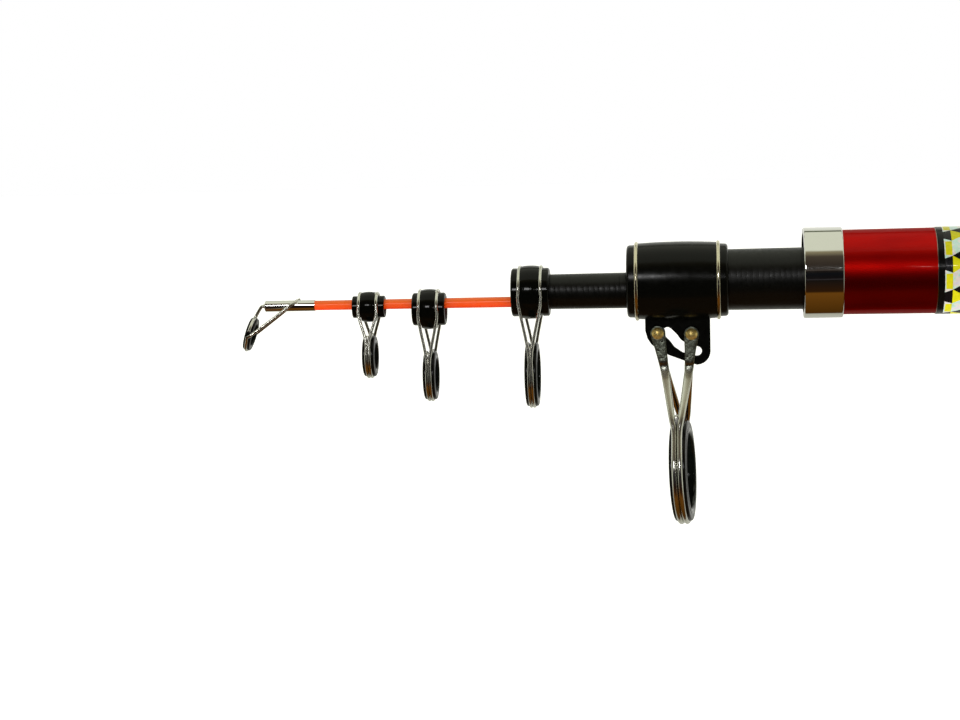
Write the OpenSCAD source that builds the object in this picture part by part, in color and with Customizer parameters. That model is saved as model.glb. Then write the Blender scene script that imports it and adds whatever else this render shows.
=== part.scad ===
// Telescopic fishing rod, four sections, shown closed and held level with its guides hanging down.
// The rod lies along X: the butt end is the origin and the tip points to -X.
// A distance called "s" is measured forward from the butt end.
// Each section lies on the lower side of the mouth it slides out of, and centres as it is drawn out.

/* [Butt section] */
// Length from the butt end to the front edge of the ferrule
butt_len = 450; // [400:1:520]
// Outside diameter of the butt tube at its front
butt_front_d = 20.0; // [19.8:0.1:21]
// Outside diameter of the butt tube at its rear
butt_rear_d = 24.2; // [24.0:0.1:26]
// Bore of the butt tube at its mouth
butt_mouth_d = 18.44; // [18.2:0.02:18.6]
// Length of the bright ferrule on the mouth
ferrule_len = 9.2; // [6:0.1:14]
// Wall of the ferrule outside the tube
ferrule_wall = 0.7; // [0.5:0.1:1.2]
// Bare lacquer between the ferrule and the patterned wrap
lacquer_len = 21.7; // [15:0.1:30]
// Width of each black band beside the patterned wrap
band_len = 1.4; // [1:0.1:3]
// Length of the patterned wrap
wrap_len = 86; // [60:1:90]
// Thickness of the wrap and the bands
wrap_wall = 0.15; // [0.1:0.05:0.3]

/* [Grips] */
// Diameter of the rear grip
grip_d = 31; // [29:0.5:34]
// Length of the rear grip
grip_len = 121; // [105:1:122]
// Greatest diameter of the foregrip
foregrip_d = 29; // [28:0.5:32]
// Length of the foregrip
foregrip_len = 52; // [40:1:56]
// Length of the metal check in front of the foregrip
check_len = 3.5; // [2:0.1:5]

/* [Reel seat] */
// Length of the seat tube
seat_len = 108; // [106:1:110]
// Outside diameter of the seat tube
seat_d = 27.2; // [27:0.1:28]
// Pitch of the screw thread
thread_pitch = 2; // [1.5:0.5:2]
// Height of the screw thread
thread_h = 0.5; // [0.4:0.1:0.6]
// Length of a hood
hood_len = 16; // [14:1:17]
// Height inside a hood for the foot of a reel
hood_pocket_h = 5.4; // [5:0.1:6]
// Length of the lock nut
nut_len = 15; // [12:1:16]
// Diameter of the lock nut
nut_d = 33; // [32:0.5:34]
// How far the hood travels to close on a foot
hood_travel = 16; // [10:1:18]

/* [Butt cap] */
// Length of the screw plug's head
plug_head_len = 7; // [6:0.5:9]
// Diameter of the screw plug's head
plug_head_d = 29.4; // [28:0.2:30]
// Length of the plug's spigot inside the tube
plug_spigot_len = 15; // [12:0.5:16]
// Diameter of the plug's spigot
plug_spigot_d = 22; // [21:0.1:22.2]
// Thickness of the sealing ring under the head
gasket_t = 1; // [0.8:0.1:1.2]
// Thickness of the cushion that the sections stop on
cushion_t = 3; // [2:0.5:3.5]

/* [Sections] */
// Outside diameter of section 3 where it leaves the butt
section_3_d = 14.7; // [14.4:0.05:14.8]
// Outside diameter of section 2 where it leaves section 3
section_2_d = 8.56; // [8.4:0.02:8.6]
// Diameter of the tip section where it leaves section 2
tip_mouth_d = 2.55; // [2.45:0.05:2.6]
// Diameter of the tip section at its front end
tip_end_d = 2.3; // [2.1:0.05:2.4]
// How far section 3 stands out of the butt when closed
section_3_out = 41.4; // [38:0.1:60]
// How far section 2 stands out of section 3 when closed
section_2_out = 27.8; // [26:0.1:40]
// How far the tip section stands out of section 2, to the end of its blank
tip_out = 59.2; // [56:0.1:70]
// Diameter at which section 2 wedges in section 3
section_2_lock_d = 12.88; // [12.8:0.02:12.9]
// Diameter at which the tip section wedges in section 2
tip_lock_d = 7.2; // [7.1:0.02:7.24]
// How far section 3 lies below the centre of the butt's mouth when closed
section_3_sag = 1.27; // [1:0.01:1.5]
// How much of each section stays inside the next one when drawn out
overlap = 42; // [36:1:48]
// Radial clearance of a wedged or touching taper
lock_gap = 0.04; // [0.02:0.01:0.06]
// Length of the wear ring on the rear end of each section
base_ring_len = 3; // [2:0.5:4]

/* [Stripper guide] */
// Length of the moulded collar
stripper_collar_len = 24; // [22:0.1:26]
// Diameter of the collar's barrel at its middle
stripper_barrel_d = 18.7; // [18.4:0.1:19]
// Diameter of the collar's ends
stripper_flange_d = 17.3; // [17:0.1:17.6]
// Distance of each trim ring from the collar's end
stripper_trim_inset = 2.3; // [2:0.1:3]
// Distance from the collar's centre line down to the ring's centre
stripper_drop = 45.8; // [44:0.1:52]
// Outside diameter of the ring
stripper_ring_d = 24.1; // [22:0.1:25]
// Width of the ring along the rod
stripper_ring_w = 4; // [3.6:0.1:4.4]
// Diameter of the ring's hole
stripper_hole_d = 18.4; // [17:0.1:18.6]
// Diameter of the frame wire
stripper_wire_d = 1.3; // [1.1:0.05:1.4]
// Thickness of the hanging plate
plate_t = 1.3; // [1:0.1:1.6]
// Turn of the ring about the upright
ring_twist = 5.5; // [0:0.5:8]
// Lean of the ring's foot towards the butt
ring_lean = 2; // [0:0.5:4]

/* [Guide 3] */
// Length of the collar on the front of section 2
guide_3_len = 9.1; // [8.6:0.1:10]
// Length of its barrel
guide_3_barrel_len = 5.2; // [4.8:0.1:5.4]
// Diameter of its barrel
guide_3_barrel_d = 12.85; // [12.4:0.05:13.4]
// Diameter of its ends
guide_3_flange_d = 11.6; // [11.2:0.1:11.8]
// Outside diameter of its ring
guide_3_ring_d = 15.4; // [14.6:0.1:16]
// Distance from its centre line down to the ring's centre
guide_3_drop = 19.8; // [19:0.1:22]

/* [Guide 2] */
// Length of the sliding collar
guide_2_len = 8.0; // [7.6:0.1:8.6]
// Length of its barrel
guide_2_barrel_len = 4.3; // [4:0.1:4.6]
// Diameter of its barrel
guide_2_barrel_d = 9.7; // [9.4:0.05:10]
// Diameter of its ends
guide_2_flange_d = 7.9; // [7.8:0.1:8.2]
// Bore of its sleeve, which sets where it wedges on the tip section
guide_2_bore_d = 5.24; // [4.8:0.02:5.4]
// Outside diameter of its ring
guide_2_ring_d = 11.75; // [11.5:0.05:12.4]
// Distance from its centre line down to the ring's centre
guide_2_drop = 16.05; // [15.4:0.05:17]
// Distance of its middle behind the tip section's front end
guide_2_back = 38.9; // [37:0.1:39.6]

/* [Guide 1] */
// Length of the sliding collar
guide_1_len = 7.8; // [7.2:0.1:8.2]
// Length of its barrel
guide_1_barrel_len = 4.2; // [4:0.1:4.4]
// Diameter of its barrel
guide_1_barrel_d = 7.35; // [7.2:0.05:7.6]
// Diameter of its ends
guide_1_flange_d = 5.3; // [5.2:0.1:5.6]
// Bore of its sleeve, which sets where it wedges on the tip section
guide_1_bore_d = 3.6; // [3.4:0.02:3.7]
// Outside diameter of its ring
guide_1_ring_d = 9.9; // [9.8:0.05:10.4]
// Distance from its centre line down to the ring's centre
guide_1_drop = 11.95; // [11.6:0.05:12.6]
// Distance of its middle behind the tip section's front end
guide_1_back = 24.2; // [23:0.1:26]

/* [Ring guides] */
// Width of the rings of guides 1 to 3 along the rod
ring_w = 2.9; // [2.7:0.1:3.4]
// Radial width of a ring and its insert together
ring_wall = 1.8; // [1.7:0.05:1.9]
// Diameter of the frame wires of guides 1 to 3
wire_d = 0.75; // [0.7:0.05:0.85]

/* [Tip top] */
// Length of the tip top's tube
top_tube_len = 12.3; // [11.5:0.1:15]
// Outside diameter of the tube
top_tube_d = 2.67; // [2.6:0.05:2.9]
// Outside diameter of the ring
top_ring_d = 8.0; // [7.6:0.1:8.4]
// Width of the ring
top_ring_w = 1.7; // [1.5:0.1:2]
// Diameter of the hole in the ring
top_hole_d = 5.4; // [5:0.1:5.6]
// Diameter of the wire
top_wire_d = 0.7; // [0.6:0.05:0.8]
// Distance of the ring's centre below the tube's centre line
top_drop = 6.7; // [6.5:0.1:7.2]
// Distance of the ring's centre in front of the tube
top_reach = 3.7; // [3:0.1:4.5]
// Forward lean of the ring's foot
top_lean = 17; // [12:1:25]

/* [Hidden] */
$fn = 64;

// Clearances: a seated piece, a turning piece, and a sliding piece
seat_gap = 0.02;
turn_gap = 0.05;
slide_gap = 0.15;

// Places along the rod, measured forward from the butt end
plug_inner_s = plug_head_len + gasket_t + plug_spigot_len;
collar_s = plug_head_len + gasket_t;
grip_s = collar_s + 7;
seat_ring_s = grip_s + grip_len;
seat_s = seat_ring_s + 2;
foregrip_s = seat_s + seat_len + 2;
check_s = foregrip_s + foregrip_len;
wrap_front_s = butt_len - ferrule_len - lacquer_len;
section_3_rear = plug_inner_s + cushion_t + 2;
section_2_rear = section_3_rear + base_ring_len + 2;
tip_rear = section_2_rear + base_ring_len + 2;
section_3_front = butt_len + section_3_out;
section_2_front = section_3_front + section_2_out;
tip_front = section_2_front + tip_out;

// How far each section can be drawn out
section_3_travel = butt_len - section_3_rear - base_ring_len - overlap;
section_2_travel = section_3_front - section_2_rear - base_ring_len - overlap;
tip_travel = section_2_front - tip_rear - base_ring_len - overlap;

// Growth of radius per millimetre towards the butt: each section wedges at the end of its travel
section_3_taper = (butt_mouth_d - section_3_d) / 2 / section_3_travel;
section_2_taper = (section_2_lock_d - section_2_d) / 2 / section_2_travel;
tip_taper = (tip_lock_d - tip_mouth_d) / 2 / tip_travel;

function butt_r(s) = butt_front_d / 2 + (butt_rear_d - butt_front_d) / 2 * (butt_len - s) / butt_len;
function butt_bore_r(s) = butt_mouth_d / 2 + lock_gap + section_3_taper * (butt_len - s);
function section_3_r(s) = section_3_d / 2 + section_3_taper * (butt_len - s);
function section_3_bore_r(s) = section_2_lock_d / 2 + lock_gap + section_2_taper * (section_3_front - s);
function section_2_r(s) = section_2_d / 2 + section_2_taper * (section_3_front - s);
function section_2_bore_r(s) = tip_lock_d / 2 + lock_gap + tip_taper * (section_2_front - s);
tip_front_taper = (tip_mouth_d - tip_end_d) / 2 / tip_out;
function tip_r(s) = tip_mouth_d / 2
    + (s > section_2_front ? tip_front_taper : tip_taper) * (section_2_front - s);

// Each section rests this far below the centre line of the one it slides in
section_2_sag = (section_2_lock_d - section_2_d) / 2 - lock_gap;
tip_sag = (tip_lock_d - tip_mouth_d) / 2 - lock_gap;
section_3_z = -section_3_sag;
section_2_z = section_3_z - section_2_sag;
tip_z = section_2_z - tip_sag;

// The sliding guides hang from the tip section by the play in their sleeves
guide_2_s = tip_front - guide_2_back;
guide_1_s = tip_front - guide_1_back;
guide_2_z = tip_z - (guide_2_bore_d / 2 - tip_r(guide_2_s)) + lock_gap;
guide_1_z = tip_z - (guide_1_bore_d / 2 - tip_r(guide_1_s)) + lock_gap;
guide_3_s = section_2_front - guide_3_len / 2 + 0.2;
stripper_s = section_3_front - stripper_collar_len / 2 + 0.3;

// Points of an arc, for rounded corners of a profile
function arc(c, r, a0, a1, n = 6) =
    [for (i = [0 : n]) c + r * [cos(a0 + (a1 - a0) * i / n), sin(a0 + (a1 - a0) * i / n)]];

// A profile of [radius, s] points turned about the rod's line
module turned(points) {
    rotate([0, -90, 0]) rotate_extrude() polygon(points);
}

// A plain ring or tube, tapered if its radii differ
module tube(s0, s1, in0, in1, out0, out1) {
    turned([[in0, s0], [out0, s0], [out1, s1], [in1, s1]]);
}

// A ring whose outer edges are rounded by e
module soft_ring(s0, s1, in0, in1, out, e) {
    turned(concat([[in0, s0]], arc([out - e, s0 + e], e, -90, 0), arc([out - e, s1 - e], e, 0, 90),
        [[in1, s1]]));
}

// A wire swept along points. sizes gives its half width and half thickness at each point; the width
// keeps to the direction ref. A closed wire joins its last point to its first.
wire_sides = 8;
function unit(v) = v / norm(v);
function wire_frame(path, i, ref, closed) = let (
    n = len(path),
    before = path[closed ? (i + n - 1) % n : max(i - 1, 0)],
    after = path[closed ? (i + 1) % n : min(i + 1, n - 1)],
    t = unit(after - before),
    u = unit(ref - (ref * t) * t))
    [u, cross(t, u)];

module wire(path, sizes, ref, closed = false) {
    n = len(path);
    m = wire_sides;
    points = [for (i = [0 : n - 1]) let (f = wire_frame(path, i, ref, closed))
        for (k = [0 : m - 1]) let (a = 360 * (k + 0.5) / m)
            path[i] + f[0] * sizes[i][0] * cos(a) + f[1] * sizes[i][1] * sin(a)];
    sides = [for (i = [0 : n - (closed ? 1 : 2)]) for (k = [0 : m - 1])
        [i * m + k, ((i + 1) % n) * m + k, ((i + 1) % n) * m + (k + 1) % m, i * m + (k + 1) % m]];
    caps = closed ? [] : [[for (k = [0 : m - 1]) k], [for (k = [0 : m - 1]) n * m - 1 - k]];
    polyhedron(points, concat(sides, caps));
}

// A round wire of one diameter
module round_wire(path, d, ref, closed = false) {
    wire(path, [for (p = path) [d / 2, d / 2]], ref, closed);
}

// Points of an arc across the rod in steps of about 6 degrees: angles run from +Z towards +Y
function loop_arc(c, r, a0, a1) = let (n = ceil(abs(a1 - a0) / 6))
    [for (i = [0 : n]) let (a = a0 + (a1 - a0) * i / n) c + [0, r * sin(a), r * cos(a)]];

// A round wire bent to an arc across the rod: angles run from +Z towards +Y
module hoop(r, d, a0, a1) {
    rotate([0, -90, 0]) rotate([0, 0, a0]) rotate_extrude(angle = a1 - a0) translate([r, 0])
        circle(d = d);
}

// ---- Butt section ----

module butt_tube() {
    s0 = collar_s + 0.5;
    s1 = butt_len - 0.8;
    color([0.62, 0.03, 0.03]) tube(s0, s1, butt_bore_r(s0), butt_bore_r(s1), butt_r(s0), butt_r(s1));
}

// Rolled sleeve over the mouth, turned in at its front edge to cover the end of the tube
module front_ferrule() {
    s0 = butt_len - ferrule_len;
    lip = butt_len - 0.8 + seat_gap;
    in = butt_r(s0) + seat_gap;
    out = in + ferrule_wall;
    mouth = butt_mouth_d / 2 + lock_gap + 0.1;
    e = 0.35;
    color("silver") turned(concat([[in, s0]], arc([out - e, s0 + e], e, -90, 0),
        arc([out - e, butt_len - e], e, 0, 90), [[mouth, butt_len], [mouth, lip], [in, lip]]));
}

// Thin band lying on the butt tube
module band(s0, s1) {
    r0 = butt_r(s0) + seat_gap;
    r1 = butt_r(s1) + seat_gap;
    tube(s0, s1, r0, r1, r0 + wrap_wall, r1 + wrap_wall);
}

module front_band() {
    color([0.03, 0.03, 0.03]) band(wrap_front_s - band_len, wrap_front_s);
}

module pattern_wrap() {
    s1 = wrap_front_s - band_len;
    color("gold") band(s1 - wrap_len, s1);
}

module rear_band() {
    s1 = wrap_front_s - band_len - wrap_len;
    color([0.03, 0.03, 0.03]) band(s1 - band_len, s1);
}

module winding_check() {
    in = butt_r(check_s) + seat_gap;
    out = foregrip_d / 2 - 1.5;
    s1 = check_s + check_len;
    color("silver") turned([[in, check_s], [out, check_s], [out, check_s + 1.2], [in + 1, s1], [in, s1]]);
}

// Foam grip, waisted in the middle
module foregrip() {
    n = 12;
    s1 = check_s - 0.1;
    r = foregrip_d / 2;
    waist = 1.1;
    side = [for (i = [0 : n]) let (t = i / n)
        [r - waist * (1 - pow(2 * t - 1, 2)) - (t == 0 || t == 1 ? 1 : 0),
            foregrip_s + t * (s1 - foregrip_s)]];
    color([0.12, 0.12, 0.12]) turned(concat([[butt_r(foregrip_s) + seat_gap, foregrip_s]], side,
        [[butt_r(s1) + seat_gap, s1]]));
}

// ---- Reel seat ----

thread_r = seat_d / 2 + thread_h;
hood_bore = thread_r + slide_gap;
hood_wall = 1.3;
hood_pocket_r = 10.6;
hood_pocket_z = -(seat_d / 2 + hood_pocket_h - hood_pocket_r);
fixed_hood_s = seat_s + 1;
sliding_hood_s = fixed_hood_s + hood_len + 50;
nut_s = sliding_hood_s + hood_len + 0.5;
thread_s = sliding_hood_s - hood_travel;
thread_turns = floor((seat_s + seat_len - 4 - thread_s) / thread_pitch);

// Moulded tube; its screw thread is drawn as a row of equal ridges
module reel_seat_tube() {
    s1 = seat_s + seat_len;
    r = seat_d / 2;
    ridges = [for (i = [0 : thread_turns - 1]) let (s = thread_s + i * thread_pitch)
        each [[r, s], [r + thread_h, s + 0.35 * thread_pitch], [r + thread_h, s + 0.6 * thread_pitch],
            [r, s + 0.95 * thread_pitch]]];
    color([0.08, 0.08, 0.09]) turned(concat([[butt_r(seat_s) + seat_gap, seat_s], [r, seat_s]], ridges,
        [[r, s1], [butt_r(s1) + seat_gap, s1]]));
}

// A cylinder along the rod, shifted up or down by z
module bore_along(s0, s1, r, z = 0) {
    translate([-s0, 0, z]) rotate([0, -90, 0]) cylinder(h = s1 - s0, r = r);
}

// Metal hood with a pocket below the seat for one end of a reel's foot
module hood(s0, mouth_forward, bore) {
    s1 = s0 + hood_len;
    end_wall = 1.6;
    cut0 = mouth_forward ? s0 + end_wall : s0 - 1;
    cut1 = mouth_forward ? s1 + 1 : s1 - end_wall;
    difference() {
        union() {
            bore_along(s0, s1, hood_bore + hood_wall);
            bore_along(s0, s1, hood_pocket_r + hood_wall, hood_pocket_z);
        }
        bore_along(s0 - 1, s1 + 1, bore);
        bore_along(cut0, cut1, hood_pocket_r, hood_pocket_z);
    }
}

module fixed_hood() {
    color("dimgray") hood(fixed_hood_s, true, seat_d / 2 + seat_gap);
}

module sliding_hood() {
    color("dimgray") hood(sliding_hood_s, false, hood_bore);
}

// Plastic ring behind the metal hood that the lock nut bears on
module hood_liner() {
    s0 = sliding_hood_s + hood_len;
    color([0.1, 0.1, 0.1]) tube(s0, s0 + 0.45, hood_bore, hood_bore, hood_bore + 1.2, hood_bore + 1.2);
}

module lock_nut() {
    flutes = 18;
    s1 = nut_s + nut_len - 2;
    color([0.1, 0.1, 0.1]) difference() {
        soft_ring(nut_s, s1, hood_bore, hood_bore, nut_d / 2, 0.8);
        for (i = [0 : flutes - 1])
            rotate([i * 360 / flutes, 0, 0]) translate([-nut_s - 2, 0, nut_d / 2 + 0.7])
                rotate([0, -90, 0]) cylinder(h = nut_len - 6, r = 1.5, $fn = 24);
    }
}

// Bright ring pressed against the front of the nut
module lock_nut_trim() {
    s0 = nut_s + nut_len - 2 + seat_gap;
    color("silver") soft_ring(s0, nut_s + nut_len, hood_bore, hood_bore, nut_d / 2 - 0.6, 0.5);
}

module seat_end_ring() {
    in = butt_r(seat_ring_s) + seat_gap;
    color("silver") soft_ring(seat_ring_s, seat_s, in, in, grip_d / 2 - 1, 0.5);
}

// ---- Rear grip and butt cap ----

module rear_grip() {
    s1 = seat_ring_s - 0.1;
    color([0.12, 0.12, 0.12]) soft_ring(grip_s, s1, butt_r(grip_s) + seat_gap, butt_r(s1) + seat_gap,
        grip_d / 2, 2);
}

module butt_collar() {
    in = butt_r(collar_s) + seat_gap;
    color("silver") soft_ring(collar_s, grip_s - 0.1, in, in, plug_head_d / 2 + 0.4, 0.6);
}

module plug_gasket() {
    in = plug_spigot_d / 2 + slide_gap;
    color([0.2, 0.2, 0.2]) soft_ring(plug_head_len + seat_gap, collar_s - seat_gap, in, in,
        plug_head_d / 2 - 0.8, 0.3);
}

// Screw plug that closes the butt; it comes out so that the sections can be cleaned
module butt_plug() {
    e = 1.6;
    r = plug_head_d / 2;
    spigot = plug_spigot_d / 2;
    flutes = 16;
    color([0.09, 0.09, 0.09]) difference() {
        turned(concat([[0, 0]], arc([r - e, e], e, -90, 0), arc([r - 0.5, plug_head_len - 0.5], 0.5, 0, 90),
            [[spigot, plug_head_len], [spigot, plug_inner_s], [0, plug_inner_s]]));
        for (i = [0 : flutes - 1])
            rotate([i * 360 / flutes, 0, 0]) translate([-2.2, 0, r + 0.6]) rotate([0, -90, 0])
                cylinder(h = plug_head_len - 3.4, r = 1.4, $fn = 24);
    }
}

module plug_cushion() {
    s0 = plug_inner_s + seat_gap;
    color([0.55, 0.4, 0.25]) turned([[0, s0], [plug_spigot_d / 2 - 0.6, s0],
        [plug_spigot_d / 2 - 0.6, plug_inner_s + cushion_t], [0, plug_inner_s + cushion_t]]);
}

// ---- Section 3 and the stripper guide ----

// Wear ring on the rear end of a section: it slides with the section, which can turn against it
module base_ring(s0, z, in, out) {
    translate([0, 0, z]) tube(s0, s0 + base_ring_len - turn_gap, in, in, out, out);
}

module section_3_base_ring() {
    s = section_3_rear + base_ring_len;
    color("ivory") base_ring(section_3_rear, section_3_z, section_3_bore_r(s), section_3_r(s));
}

module section_3_tube() {
    s0 = section_3_rear + base_ring_len;
    s1 = section_3_front;
    color([0.05, 0.05, 0.05]) translate([0, 0, section_3_z])
        tube(s0, s1, section_3_bore_r(s0), section_3_bore_r(s1), section_3_r(s0), section_3_r(s1));
}

stripper_s0 = stripper_s - stripper_collar_len / 2;
stripper_s1 = stripper_s + stripper_collar_len / 2;
trim_d = 0.9;
trim_r = stripper_barrel_d / 2 - 0.35;

// Slot in the collar's underside that holds the plate
module plate_slot() {
    translate([-plate_s1 - seat_gap, -plate_t / 2 - seat_gap, -stripper_barrel_d])
        cube([plate_s1 - plate_s0 + 2 * seat_gap, plate_t + 2 * seat_gap,
            stripper_barrel_d - plate_top_r + seat_gap]);
}

// Moulded collar: crowned barrel between two trim grooves and two rounded ends
module stripper_collar() {
    n = 14;
    f = stripper_flange_d / 2;
    e = 0.7;
    g0 = stripper_s0 + stripper_trim_inset;
    g1 = stripper_s1 - stripper_trim_inset;
    crown = 0.28;
    top = stripper_barrel_d / 2;
    b0 = g0 + trim_d / 2;
    b1 = g1 - trim_d / 2;
    barrel = [for (i = [0 : n]) let (t = i / n) [top - crown * pow(2 * t - 1, 2), b0 + t * (b1 - b0)]];
    color([0.05, 0.05, 0.05]) translate([0, 0, section_3_z]) difference() {
        turned(concat([[section_3_r(stripper_s0) + seat_gap, stripper_s0]],
            arc([f - e, stripper_s0 + e], e, -90, 0), [[f + 0.1, b0]], barrel, [[f + 0.1, b1]],
            arc([f - e, stripper_s1 - e], e, 0, 90),
            [[section_3_r(stripper_s1) + seat_gap, stripper_s1]]));
        for (s = [g0, g1])
            translate([-s, 0, 0]) hoop(trim_r, trim_d + 2 * seat_gap, 0, 360);
        plate_slot();
    }
}

module trim(s) {
    color("goldenrod") translate([-s, 0, section_3_z]) hoop(trim_r, trim_d, 0, 360);
}

module stripper_rear_trim() {
    trim(stripper_s0 + stripper_trim_inset);
}

module stripper_front_trim() {
    trim(stripper_s1 - stripper_trim_inset);
}

// The plate hangs in the rod's upright plane. Its outline is in [s, z] about the section's centre line.
plate_s0 = stripper_s - 7.6;
plate_s1 = stripper_s + 7.9;
plate_top_r = 8.2;
plate_corner_r = 3.3;
plate_foot_z = -20.2;
rivet_front = [stripper_s + 4.9, -12.5];
rivet_rear = [stripper_s - 3.1, -12.8];
rivet_r = 0.9;
slot_r = 1.15;
slot_line = [[2.6, -12.2], [1.2, -13.6], [0.2, -15], [-1.4, -16.1], [-2.8, -16.7], [-4.4, -16.9]];

module plate_outline() {
    c = [plate_s0 + plate_corner_r, plate_foot_z + plate_corner_r];
    polygon(concat([[plate_s0, -plate_top_r]], arc(c, plate_corner_r, 180, 270),
        [[stripper_s - 1.4, -19.2], [stripper_s + 2.3, -17.8], [stripper_s + 5.4, -16.1],
            [stripper_s + 6.5, -15.1], [stripper_s + 7.4, -13.7], [plate_s1, -11.8],
            [plate_s1, -plate_top_r]]));
}

// Curved keeper slot: the slot's middle line offset to both sides, with rounded ends
module keeper_slot() {
    mid = [for (p = slot_line) [stripper_s, 0] + p];
    n = len(mid) - 1;
    along = [for (i = [0 : n]) unit(mid[min(i + 1, n)] - mid[max(i - 1, 0)])];
    function side(m) = [for (i = [0 : n]) mid[i] + m * slot_r * [-along[i].y, along[i].x]];
    function end(i, turn) = let (a = atan2(along[i].y, along[i].x) + turn)
        arc(mid[i], slot_r, a + 60, a - 60, 4);
    right = side(-1);
    polygon(concat(side(1), end(n, 0), [for (i = [n : -1 : 0]) right[i]], end(0, 180)));
}

// Stands an [s, z] outline up in the rod's plane, t thick and y off the middle
module upright(t, y = 0) {
    translate([0, y + t / 2, section_3_z]) mirror([1, 0, 0]) rotate([90, 0, 0])
        linear_extrude(t) children();
}

module stripper_plate() {
    color([0.04, 0.04, 0.04]) upright(plate_t) difference() {
        plate_outline();
        keeper_slot();
        for (p = [rivet_front, rivet_rear])
            translate(p) circle(r = rivet_r + seat_gap);
    }
}

// Paddle: the flattened end of a frame wire, lying on a face of the plate
paddle_t = 0.6;
paddle_y = plate_t / 2 + seat_gap + paddle_t / 2;
paddle_r = 1.8;
rivet_head_r = 1.45;

module stripper_rivets() {
    reach = paddle_y + paddle_t / 2 + seat_gap;
    dome = 0.75;
    ball = (rivet_head_r * rivet_head_r + dome * dome) / (2 * dome);
    color("goldenrod") for (p = [rivet_front, rivet_rear])
        translate([-p[0], 0, section_3_z + p[1]]) rotate([90, 0, 0]) {
            cylinder(h = 2 * reach, r = rivet_r, center = true);
            for (m = [0, 1])
                mirror([0, 0, m]) translate([0, 0, reach]) intersection() {
                    translate([0, 0, dome - ball]) sphere(r = ball);
                    cylinder(h = dome, r = rivet_head_r);
                }
        }
}

// The ring's own frame: u along the rod (towards the butt), y across, z up from the ring's centre
ring_centre = [-(stripper_s - 0.5), 0, section_3_z - stripper_drop];
function ring_point(p) = let (
    tilt = [p.x * cos(ring_lean) - p.z * sin(ring_lean), p.y, p.x * sin(ring_lean) + p.z * cos(ring_lean)])
    ring_centre + [tilt.x * cos(ring_twist) + tilt.y * sin(ring_twist),
        -tilt.x * sin(ring_twist) + tilt.y * cos(ring_twist), tilt.z];

module in_ring() {
    translate(ring_centre) rotate([0, 0, -ring_twist]) rotate([0, -ring_lean, 0]) children();
}

// The two frame wires lie side by side in one groove round the ring
frame_wire_r = stripper_ring_d / 2 + 0.1;
frame_wire_u = stripper_wire_d / 2 + 0.02;
leave_angle = 66;
leg_w = 1.05;

// One wire: two riveted paddles, two legs and a loop round the ring. side is 1 at the butt, -1 at the tip
module stripper_frame(rivet, foot_s, side) {
    r = stripper_wire_d / 2;
    head = [-rivet[0], section_3_z + rivet[1]];
    foot = [-foot_s, section_3_z - 21.8];
    down = unit(foot - head);
    reach = norm(foot - head);
    // Along the paddle: distance from the rivet, half width, half thickness
    shape = concat([for (k = [0 : 4]) let (a = 80 - 20 * k)
            [-paddle_r * sin(a), paddle_r * cos(a), paddle_t / 2]],
        [[0.45 * reach, 0.4 * paddle_r + 0.6 * leg_w, paddle_t / 2], [reach, leg_w, 0.7 * r]]);
    function leg(m) = [for (p = shape) let (q = head + p[0] * down)
        [q.x, m * (paddle_y + max(p[2] - paddle_t / 2, 0)), q.y]];
    near_meet = [[side * 1.15, 7.2, 13.8], [side * frame_wire_u, 8.6, 10.4]];
    loop = loop_arc([side * frame_wire_u, 0, 0], frame_wire_r, leave_angle, 360 - leave_angle);
    far_meet = [for (k = [1, 0]) [near_meet[k].x, -near_meet[k].y, near_meet[k].z]];
    round_part = [for (p = concat(near_meet, loop, far_meet)) ring_point(p)];
    back = [for (k = [len(shape) - 1 : -1 : 0]) k];
    near = leg(-1);
    path = concat(leg(1), round_part, [for (k = back) near[k]]);
    flat = [(leg_w + 2 * r) / 3, r];
    sizes = concat([for (p = shape) [p[1], p[2]]], [flat], [for (k = [3 : len(round_part)]) [r, r]],
        [flat], [for (k = back) [shape[k][1], shape[k][2]]]);
    difference() {
        wire(path, sizes, [1, 0, 0]);
        translate([head.x, 0, head.y]) rotate([90, 0, 0])
            cylinder(h = 8, r = rivet_r + seat_gap, center = true, $fn = 24);
    }
}

module stripper_front_frame() {
    color("gainsboro") stripper_frame(rivet_front, stripper_s + 3.3, -1);
}

module stripper_rear_frame() {
    color("gainsboro") stripper_frame(rivet_rear, stripper_s - 2.3, 1);
}

// Ring of w width whose outside carries a groove for two wires of d diameter
module grooved_ring(out, in, w, wire_r, d) {
    e = 0.45;
    difference() {
        turned(concat([[in, -w / 2]], arc([out - e, -w / 2 + e], e, -90, 0, 4),
            arc([out - e, w / 2 - e], e, 0, 90, 4), [[in, w / 2]]));
        for (m = [-1, 1])
            translate([m * (d / 2 + 0.02), 0, 0]) hoop(wire_r, d + 2 * seat_gap, 0, 360);
    }
}

// Ceramic insert: a round-edged ring inside the black one
module insert(out, in, w) {
    e = (out - in) * 0.55;
    turned(concat([[out, w / 2 - 0.1], [out, 0.1 - w / 2]], arc([in + e, e - w / 2], e, 270, 180, 5),
        arc([in + e, w / 2 - e], e, 180, 90, 5)));
}

stripper_insert_r = stripper_hole_d / 2 + 1.2;

module stripper_ring() {
    color([0.06, 0.06, 0.06]) in_ring() grooved_ring(stripper_ring_d / 2, stripper_insert_r,
        stripper_ring_w, frame_wire_r, stripper_wire_d);
}

module stripper_insert() {
    color([0.16, 0.16, 0.18]) in_ring() insert(stripper_insert_r - seat_gap, stripper_hole_d / 2,
        stripper_ring_w + 0.3);
}

// ---- Ring guides 1 to 3 ----

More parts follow.
